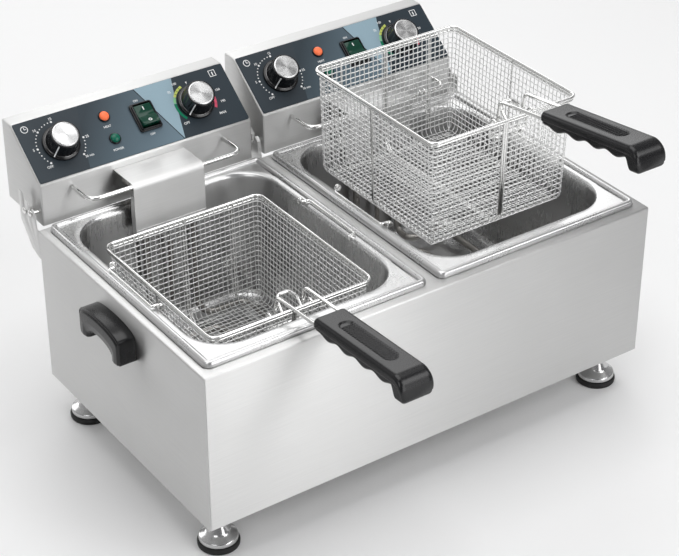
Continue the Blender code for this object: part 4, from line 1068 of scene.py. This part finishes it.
def element_paths():
    """Two legs down the rear wall and a flat serpentine over the floor."""
    floor = TANK_FLOOR + 0.0129
    back = OPENING_MIDDLE + OPENING_LENGTH / 2 - 0.040
    front = OPENING_MIDDLE - OPENING_LENGTH / 2 + 0.034
    half = [(ELEMENT_LEG_X, HEAD_FACE + 0.012, ELEMENT_EXIT), (ELEMENT_LEG_X, ELEMENT_LEG_Y, ELEMENT_EXIT),
            (ELEMENT_LEG_X, ELEMENT_LEG_Y, floor), (ELEMENT_LEG_X, back, floor), (0.078, back, floor),
            (0.078, front, floor), (0.026, front, floor), (0.026, back - 0.028, floor)]
    other = [(-x, y, z) for x, y, z in reversed(half)]
    return rounded_path(half + other, 0.012, steps=8)


def gland_mesh():
    """Cable gland along +Z: locknut on the plate, ribbed dome and a clear bore."""
    bore = 0.0042
    nut = slab(hexagon(0.0118), 0.0003, 0.0045, 0.0006, 3)
    profile = [(bore, 0.0040), (0.0105, 0.0040), (0.0103, 0.0070, 0.002), (0.0080, 0.0108, 0.0015)]
    profile += [(bore + 0.0006, 0.0110, 0.0004), (bore, 0.0104)]
    dome = turned(filleted(profile, 5, closed=True), 96, closed=True)
    for vertex in dome.vertices:
        radius = math.hypot(vertex.co.x, vertex.co.y)
        if radius > 0.0078:
            angle = math.atan2(vertex.co.y, vertex.co.x)
            keep = 1 - 0.0005 * max(0.0, math.cos(angle * 16)) / radius
            vertex.co.x *= keep
            vertex.co.y *= keep
    sleeve = turned([(bore, -0.0100), (0.0080, -0.0100), (0.0080, 0.0041), (bore, 0.0041)], 48, closed=True)
    return joined([cut(nut, rod(0.0079, (0, 0, -0.01), (0, 0, 0.02), 48)), dome, sleeve])


def screw_mesh():
    """Pan-head screw with a cross slot, its seat at height 0."""
    profile = [(0.0, 0.0016), (0.0016, 0.0015, 0.001), (0.0030, 0.0006, 0.0006), (0.0030, 0.0), (0.0, 0.0)]
    head = turned(filleted(profile, 4), 32)
    slots = [block((-0.0017, -0.00035, 0.0008), (0.0017, 0.00035, 0.003)),
             block((-0.00035, -0.0017, 0.0008), (0.00035, 0.0017, 0.003))]
    return cut(head, *slots)


def make_heads():
    layers = panel_layers()
    marks = panel_print()
    knob, pointer, ring, cap = knob_mesh(), knob_pointer(), knob_ring(), knob_cap()
    bezel, rocker, rocker_print = bezel_mesh(), rocker_mesh(), rocker_marks()
    collar, lens = lamp_meshes()
    lenses = {"heat": (lens, "lamp_orange", HEAT_HEIGHT),
              "power": (lens.copy(), "lamp_green", POWER_HEIGHT)}
    guard, gland, screw = guard_mesh(), gland_mesh(), screw_mesh()
    half, start = RAIL_HALF, HEAD_FACE - CLEARANCE
    corners = [(x, y, RAIL_Z) for x, y in ((-half, start), (-half, RAIL_Y), (half, RAIL_Y), (half, start))]
    rail = wires([(rounded_path(corners, 0.014, steps=8), False)], RAIL_WIRE, 6)
    element = wires([(element_paths(), False)], ELEMENT_RADIUS, 6)
    for side in (LEFT, RIGHT):
        name, body = side.name, f"{side.name}_head"
        cover, pins = head_cover(side.sign)
        add(f"{name}_head_cover", cover, "brushed_steel", body, [f"{name}_head_housing"], side.shift)
        add(f"{name}_hanging_pins", pins, "polished_wire", body, place=side.shift)
        refinish(f"{name}_head_back_cover", "brushed_steel")
        refinish(f"{name}_control_panel", "panel_slate")
        refinish(f"{name}_timer", "component_plastic")
        refinish(f"{name}_thermostat", "element_steel")
        for label, shape, material in layers:
            add(f"{name}_panel_{label}", shape, material, body, place=side.slope, slot="panel_slate")
        add(f"{name}_panel_marks", marks, "print_white", body, place=side.slope, slot="panel_slate")
        for label, x in (("timer", TIMER_X), ("thermostat", THERMOSTAT_X)):
            node_name = f"{name}_{label}_knob"
            place = slope_place(side, x, DIAL_HEIGHT)
            add(f"{node_name}_body", knob, "knob_plastic", node_name, [node_name], place, 40,
                slot="black_plastic")
            add(f"{node_name}_pointer", pointer, "print_white", node_name, place=place, slot="knob_cap")
            add(f"{node_name}_ring", ring, "knob_line", node_name, place=place, slot="knob_cap")
            add(f"{node_name}_disc", cap, "knob_cap", node_name, [f"{node_name}_cap"], place)
        place = slope_place(side, SWITCH_X, SWITCH_HEIGHT)
        add(f"{name}_switch_surround", bezel, "black_plastic", body, [f"{name}_switch_bezel"], place)
        place = slope_place(side, SWITCH_X, SWITCH_HEIGHT, 0.0020)
        rocker_body = f"{name}_switch_rocker"
        add(f"{rocker_body}_key", rocker, "switch_green", rocker_body, [rocker_body], place)
        add(f"{rocker_body}_marks", rocker_print, "print_white", rocker_body, place=place,
            slot="switch_green")
        for label, (shape, material, height) in lenses.items():
            place = slope_place(side, LAMP_X, height)
            add(f"{name}_{label}_lens", shape, material, body, [f"{name}_{label}_lamp"], place)
            add(f"{name}_{label}_collar", collar, "knob_plastic", body, place=place,
                slot="black_plastic")
        add(f"{name}_rail_wire", rail, "polished_wire", body, [f"{name}_hanger_rail"], side.shift,
            WIRE_SMOOTHING)
        add(f"{name}_guard_plate", guard, "brushed_steel", body, [f"{name}_element_guard"], side.shift)
        add(f"{name}_element_tube", element, "element_steel", body, [f"{name}_heating_element"],
            side.shift, WIRE_SMOOTHING)
        low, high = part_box(f"{name}_cable_gland")
        back = Matrix.Rotation(-math.pi / 2, 4, "X")
        place = Matrix.Translation(((low.x + high.x) / 2, HEAD_REAR, (low.z + high.z) / 2)) @ back
        add(f"{name}_gland_body", gland, "black_plastic", body, [f"{name}_cable_gland"], place)
        reach = HEAD_HALF - 0.013
        spots = [(x, z) for x in (-reach, 0.0, reach) for z in (HEAD_BOTTOM + 0.010, HEAD_TOP - 0.012)]
        screws = [placed(screw, Matrix.Translation((x, HEAD_REAR, z)) @ back) for x, z in spots]
        add(f"{name}_cover_screws", joined(screws), "polished_wire", body, place=side.shift,
            slot="brushed_steel")


# ---------------------------------------------------------------- baskets
# A basket's own frame has its origin in the middle of its front edge, at the height of the rim wire.
def wall_inset(depth):
    return WEAVE_INSET + BASKET_DRAFT * min(depth, BASKET_KNEE) / BASKET_KNEE


def stations():
    """Places of the upright wires round the basket: kind, key, point for an inset, outward normal."""
    half_width, half_length = BASKET_WIDTH / 2, BASKET_LENGTH / 2
    flat_x, flat_y = half_width - BASKET_CORNER, half_length - BASKET_CORNER
    across_count = round(2 * flat_x / PITCH)
    along_count = round(2 * flat_y / PITCH)
    ring = []
    for side_x, side_y, quarter in ((1, 1, 0), (-1, 1, 1), (-1, -1, 2), (1, -1, 3)):
        centre = Vector((side_x * flat_x, half_length + side_y * flat_y))
        for step in range(1, 6):
            angle = (quarter + step / 6) * math.pi / 2
            outward = Vector((math.cos(angle), math.sin(angle)))
            ring.append(("corner" if step == 3 else "bend", None, centre, outward, BASKET_CORNER))
        count = along_count if quarter % 2 else across_count
        for step in range(count + 1):
            along = 1 - 2 * step / count
            if quarter == 0:
                spot, outward, key = (along * flat_x, half_length + half_length), (0, 1), ("x", step)
            elif quarter == 1:
                spot, outward, key = (-half_width, half_length + along * flat_y), (-1, 0), ("y", step)
            elif quarter == 2:
                spot, outward, key = (-along * flat_x, 0.0), (0, -1), ("x", count - step)
            else:
                spot, outward, key = (half_width, half_length - along * flat_y), (1, 0), ("y", count - step)
            ring.append(("wall", key, Vector(spot), Vector(outward), 0.0))
    return ring


def station_point(station, depth, inset, swing=0.0):
    _, _, spot, outward, radius = station
    place = spot + outward * (radius - inset + swing)
    return Vector((place.x, place.y, -depth))


def weave_paths():
    """Every wire of the woven basket: crosswise, lengthwise, corner uprights and level rings."""
    ring = stations()
    first_row = 0.0052
    rows = [first_row + PITCH * row for row in range(int((BASKET_KNEE - first_row) / PITCH) + 1)]
    floor = -(BASKET_DEPTH - 0.0006)
    knee_radius = -floor - BASKET_KNEE

    def upright(index, station):
        points = [station_point(station, 0.0008, 0.0034)]
        for row, depth in enumerate(rows):
            side = -1 if (index + row) % 2 else 1
            points.append(station_point(station, depth, wall_inset(depth), side * WEAVE_SWING))
        for step in range(1, 4):
            angle = step * math.pi / 8
            inset = wall_inset(BASKET_KNEE) + knee_radius * (1 - math.cos(angle))
            points.append(station_point(station, BASKET_KNEE + knee_radius * math.sin(angle), inset))
        return points

    uprights = {}
    paths = []
    sides = {}
    for station in ring:
        if station[0] == "bend":
            continue
        index = len(sides)
        sides[id(station)] = index
        points = upright(index, station)
        if station[0] == "corner":
            inset = wall_inset(BASKET_KNEE) + knee_radius
            points.append(station_point(station, -floor, inset))
            paths.append((points, False))
        else:
            uprights.setdefault(station[1], []).append((index, points, station[2]))
    xs = {key[1]: ends[0][2].x for key, ends in uprights.items() if key[0] == "x"}
    ys = {key[1]: ends[0][2].y for key, ends in uprights.items() if key[0] == "y"}
    for key, ends in uprights.items():
        first, second = ends
        crossings = sorted(ys if key[0] == "x" else xs)
        floor_points = []
        for number in crossings:
            lift = WEAVE_SWING if (key[1] + number) % 2 else -WEAVE_SWING
            lift = lift if key[0] == "x" else -lift
            x = xs[key[1]] if key[0] == "x" else xs[number]
            y = ys[number] if key[0] == "x" else ys[key[1]]
            floor_points.append(Vector((x, y, floor + lift)))
        start, end = first[1], second[1]
        if (floor_points[0] - start[-1]).length > (floor_points[-1] - start[-1]).length:
            floor_points.reverse()
        paths.append((start + floor_points + list(reversed(end)), False))
    for row, depth in enumerate(rows):
        points = []
        for station in ring:
            side = 0
            if id(station) in sides:
                side = 1 if (sides[id(station)] + row) % 2 else -1
            points.append(station_point(station, depth, wall_inset(depth), side * WEAVE_SWING))
        paths.append((points, True))
    return paths


def basket_loop(inset, height, steps=8):
    ring = rounded_rectangle(BASKET_WIDTH - 2 * inset, BASKET_LENGTH - 2 * inset,
                             max(BASKET_CORNER - inset, 0.004), height, steps)
    return [point + Vector((0.0, BASKET_LENGTH / 2, 0.0)) for point in ring]


def strap_path(half_span):
    """A support down one wall, under the floor and up the other wall: (across, height) points."""
    knee = half_span - wall_inset(BASKET_KNEE) + STRAP + 0.0012
    half = [(half_span - 0.0022, 0.0), (half_span - 0.0030, -0.0120), (knee, -BASKET_KNEE + 0.0040),
            (knee - 0.0095, STRAP_LOW)]
    return half + [(-across, height) for across, height in reversed(half)]


def frame_wire_sets(handle_shift):
    """The basket's frame: rims with the front arch, lower rim, and supports with the handle's pivot bar."""
    middle = BASKET_LENGTH / 2
    rims = [(basket_loop(RIM_WIRE, 0.0), True)]
    second = [(basket_loop(0.0026, -0.0037), True)]
    supports = []
    for shift in (-0.0015, 0.0015):
        path = [(shift, middle + y, z) for y, z in strap_path(BASKET_LENGTH / 2)]
        supports.append((rounded_path(path, 0.008), False))
    path = [(x, middle, z) for x, z in strap_path(BASKET_WIDTH / 2)]
    supports.append((rounded_path(path, 0.008), False))
    supports.append((basket_loop(wall_inset(BASKET_KNEE) + 0.0085, STRAP_LOW), True))
    half_arch = HANDLE_SPREAD - 0.0053
    side = [(half_arch, 0.0020, 0.0), (half_arch, 0.0100, 0.0090), (half_arch - 0.005, 0.0170, 0.0125)]
    arch = [(handle_shift + x, y, z) for x, y, z in side]
    arch += [(handle_shift - x, y, z) for x, y, z in reversed(side)]
    rims.append((rounded_path(arch, 0.005), False))
    bar = HANDLE_SPREAD + 0.0080
    hanger = [(0.0030, 0.0014), (0.0070, 0.0026), (PIVOT_BACK - 0.0010, -0.0040),
              (PIVOT_BACK, -PIVOT_DROP)]
    path = [(handle_shift - bar, y, z) for y, z in hanger]
    path += [(handle_shift + bar, y, z) for y, z in reversed(hanger)]
    supports.append((rounded_path(path, 0.0025), False))
    return rims, second, supports


def hook_paths():
    """Two hairpin hooks on the rear wall that reach back over the rail, and the uprights they hang from."""
    right = RIGHT.basket.translation
    rail_y = RAIL_Y - right.y
    top = RAIL_Z - right.z
    bend = RAIL_WIRE + CLEARANCE + HOOK_WIRE
    outside = BASKET_LENGTH + 0.0007
    hooks, uprights = [], []
    for x in (-HOOK_SPREAD, HOOK_SPREAD):
        branch = [(outside - wall_inset(depth) + HOOK_WIRE, -depth) for depth in (0.108, 0.095)]
        branch += arc_points(bend, math.pi, -math.pi, 12, (rail_y, top))
        branch.append((rail_y + bend, top - 0.0060))
        path = [(x - 0.003, y, z) for y, z in branch] + [(x + 0.003, y, z) for y, z in reversed(branch)]
        hooks.append((path, False))
        line = [(x, BASKET_LENGTH - 0.0022, 0.0)]
        line += [(x, outside - wall_inset(depth) + STRAP, -depth) for depth in (0.020, BASKET_KNEE)]
        uprights.append((line, False))
        depth = 0.100
        tie_y = outside - wall_inset(depth) + HOOK_WIRE
        hooks.append(([(x - 0.0042, tie_y, -depth), (x + 0.0042, tie_y, -depth)], False))
    return hooks, uprights


def handle_side():
    """One handle wire about the pivot bar, from its hook over the rim to the inside of the grip: (Y, Z)."""
    ring = STRAP + 0.0001 + CLEARANCE + HANDLE_WIRE
    hook = arc_points(ring, math.pi, math.pi, 12)
    on_rim = (0.0077 - PIVOT_BACK, PIVOT_DROP)
    shoulder = (0.0030 - PIVOT_BACK, PIVOT_DROP + 0.0205)
    inside = GRIP_REACH + 0.0780
    inner = (shoulder[0] - inside, shoulder[1] + math.tan(HANDLE_RISE) * inside)
    rise = rounded_path([(0.0, *hook[-1]), (0.0, *on_rim), (0.0, *shoulder), (0.0, *inner)], 0.007)
    return hook[:-1] + [(point.y, point.z) for point in rise]


def rounding(distance, radius):
    """How far a rounded end has drawn in at a distance from its tip, as a share of its radius."""
    if distance >= radius:
        return 0.0
    return 1 - math.sqrt(max(0.0, 1 - ((radius - distance) / radius) ** 2))


def grip_section(distance):
    """Half a cross-section of the grip at a distance from its near end: (X, Z) from top to bottom."""
    far = GRIP_LENGTH - distance
    nose = 0.0150
    top = 0.0076
    if far < nose:
        top = max(top - nose * rounding(far, nose), -0.0050)
    wave_start, wave_end = 0.006, GRIP_LENGTH - 0.0190
    along = min(1.0, max(0.0, (distance - wave_start) / (wave_end - wave_start)))
    swell = 0.5 - 0.5 * math.cos(math.tau * 4 * along)
    bottom = -0.0072 - 0.0036 * swell
    turn = min(1.0, max(0.0, (distance - wave_end) / 0.0060))
    turn = turn * turn * (3 - 2 * turn)
    bottom += (-0.0195 - bottom) * turn
    bottom += 0.0030 * rounding(far, 0.0040)
    shrink = 0.0020 * rounding(distance, 0.0025)
    top, bottom = top - shrink, bottom + shrink
    half = GRIP_HALF - 0.0014 * rounding(far, 0.0030) - shrink
    ridge = top - 0.0092
    lower = half - 0.0018
    section = [(half * step / 16, top) for step in range(12)]
    edge = 0.0052
    section += arc_points(edge, math.pi / 2, -math.pi / 2, 8, (half - edge, top - edge))
    section += [(half, ridge + 0.0016), (half - 0.0002, ridge + 0.0006), (half - 0.0010, ridge)]
    section += [(lower - 0.0002, ridge - 0.0004), (lower - 0.0003, ridge - 0.0014)]
    foot = min(0.0038, max(0.0005, (ridge - 0.0014 - bottom) * 0.9))
    section += arc_points(foot, 0.0, -math.pi / 2, 6, (lower - foot, bottom + foot))
    section.append((0.0, bottom))
    return section


def rib_drop(x, distance):
    """Depth of the ribbed oval inset on top of the grip."""
    start, stop, half = 0.022, 0.108, 0.0078
    nearest = min(max(distance, start + half), stop - half)
    edge = half - math.hypot(x, distance - nearest)
    if edge <= 0:
        return 0.0
    depth, shoulder, period = 0.0014, 0.0012, 0.0035
    bowl = depth * min(1.0, edge / shoulder)
    if distance < start + 0.008:
        return bowl
    rib = 0.5 - 0.5 * math.cos(math.tau * (distance - start) / period)
    return bowl - depth * rib * min(1.0, max(0.0, edge - 0.0004) / shoulder)


def grip_mesh():
    rings = []
    distances = []
    distance = 0.0
    while distance < GRIP_LENGTH - 0.0001:
        distances.append(distance)
        in_ribs = 0.020 < distance < 0.110
        near_end = distance < 0.003 or distance > GRIP_LENGTH - 0.016
        distance += 0.0005 if in_ribs or near_end else 0.0015
    distances.append(GRIP_LENGTH)
    for distance in distances:
        right = []
        for x, z in grip_section(distance):
            drop = rib_drop(x, distance) if z > -0.001 else 0.0
            right.append(Vector((x, -distance, z - drop)))
        left = [Vector((-point.x, point.y, point.z)) for point in reversed(right[1:-1])]
        rings.append(right + left)
    grip = loft(rings, cap_start=True, cap_end=True)
    inner = Vector((0.0, *handle_side()[-1]))
    along = Vector((0.0, -math.cos(HANDLE_RISE), math.sin(HANDLE_RISE)))
    near = inner - along * 0.0750
    grip.transform(Matrix.Translation(near) @ Matrix.Rotation(-HANDLE_RISE, 4, "X"))
    return grip


def make_baskets():
    weave = wires(weave_paths(), WEAVE_WIRE, 1)
    hooks, uprights = hook_paths()
    hook_wires = wires(hooks, HOOK_WIRE, 4)
    handle_path = handle_side()
    pair = [(-HANDLE_SPREAD, y, z) for y, z in handle_path]
    pair += [(HANDLE_SPREAD, y, z) for y, z in reversed(handle_path)]
    handle_wires = wires([(pair, False)], HANDLE_WIRE, 5)
    grip = grip_mesh()
    for side in (LEFT, RIGHT):
        name, body = side.name, f"{side.name}_basket"
        rims, second, supports = frame_wire_sets(side.handle_shift)
        add(f"{name}_basket_weave", weave, "mesh_wire", body, [f"{name}_basket_mesh"], side.basket,
            WIRE_SMOOTHING)
        add(f"{name}_basket_rim", wires(rims, RIM_WIRE, 5), "polished_wire", body,
            [f"{name}_basket_frame"], side.basket, WIRE_SMOOTHING)
        for label, shape in (("rim_lower", wires(second, LOWER_RIM_WIRE, 4)), ("hooks", hook_wires),
                             ("supports", wires(supports + uprights, STRAP, 4))):
            add(f"{name}_basket_{label}", shape, "polished_wire", body, place=side.basket,
                angle=WIRE_SMOOTHING)
        body = f"{name}_basket_handle"
        add(f"{name}_handle_wires", handle_wires, "polished_wire", body, [f"{name}_basket_handle_wire"],
            side.handle, WIRE_SMOOTHING)
        add(f"{name}_handle_grip", grip, "black_plastic", body, [f"{name}_basket_grip"], side.handle,
            angle=50)


# ---------------------------------------------------------------- studio
def make_stage():
    work = bmesh.new()
    bmesh.ops.create_grid(work, x_segments=1, y_segments=1, size=6.0)
    floor = bpy.data.objects.new("studio_floor", from_bmesh(work))
    bpy.context.scene.collection.objects.link(floor)
    material = bpy.data.materials.new("studio_floor")
    material.use_nodes = True
    shader = material.node_tree.nodes["Principled BSDF"]
    shader.inputs["Base Color"].default_value = (0.90, 0.90, 0.90, 1.0)
    shader.inputs["Roughness"].default_value = 0.6
    floor.data.materials.append(material)


def make_light(name, location, target, size, power):
    data = bpy.data.lights.new(name, "AREA")
    data.shape = "RECTANGLE"
    data.size, data.size_y = size
    data.energy = power
    lamp = bpy.data.objects.new(name, data)
    lamp.location = location
    lamp.rotation_euler = (Vector(target) - Vector(location)).to_track_quat("-Z", "Y").to_euler()
    bpy.context.scene.collection.objects.link(lamp)


def make_world():
    """Soft grey sky, a little darker to the front right."""
    world = bpy.data.worlds.new("studio")
    bpy.context.scene.world = world
    world.use_nodes = True
    tree = world.node_tree
    background = tree.nodes["Background"]
    coordinates = node(tree, "ShaderNodeTexCoord")
    split = node(tree, "ShaderNodeSeparateXYZ")
    tree.links.new(coordinates.outputs["Generated"], split.inputs["Vector"])
    behind = ranged(tree, split.outputs["Y"], 0.0, 1.0, -0.6, 0.6)
    sky = mixed(tree, behind, (0.22, 0.22, 0.225), (0.50, 0.50, 0.50))
    tree.links.new(sky, background.inputs["Color"])
    background.inputs["Strength"].default_value = 1.0


def make_studio():
    make_stage()
    make_light("key", (1.3, -1.9, 2.0), (-0.1, 0, 0.1), (1.3, 1.3), 19)
    make_light("fill", (-2.0, -1.2, 1.9), (-0.1, 0, 0.1), (1.2, 1.2), 10)
    make_light("front", (0.42, -2.0, 0.66), (-0.30, -0.14, 0.15), (0.8, 1.25), 8)
    make_light("left", (-0.72, 2.1, 0.85), (-0.28, 0.10, 0.15), (0.9, 1.5), 7)
    make_light("back", (1.3, 2.1, 1.7), (0, 0, 0.25), (1.8, 1.4), 13)
    make_light("top", (0.0, 0.3, 2.8), (0, 0, 0.2), (2.4, 2.0), 34)
    make_world()
    bpy.context.scene.view_settings.view_transform = "Standard"


def make_camera():
    azimuth, elevation = math.radians(34.90), math.radians(32.27)
    data = bpy.data.cameras.new("camera")
    data.lens = 104.73
    data.sensor_width = 36.0
    camera = bpy.data.objects.new("camera", data)
    camera.location = (-1.0397, -1.4508, 1.2970)
    forward = Vector((math.sin(azimuth) * math.cos(elevation), math.cos(azimuth) * math.cos(elevation),
                      -math.sin(elevation)))
    camera.rotation_euler = forward.to_track_quat("-Z", "Y").to_euler()
    bpy.context.scene.collection.objects.link(camera)
    bpy.context.scene.camera = camera


LEFT = Side("left", -1)
RIGHT = Side("right", 1)

make_camera()
make_body()
make_side_handles()
make_feet()
make_tanks()
make_heads()
make_baskets()
make_studio()
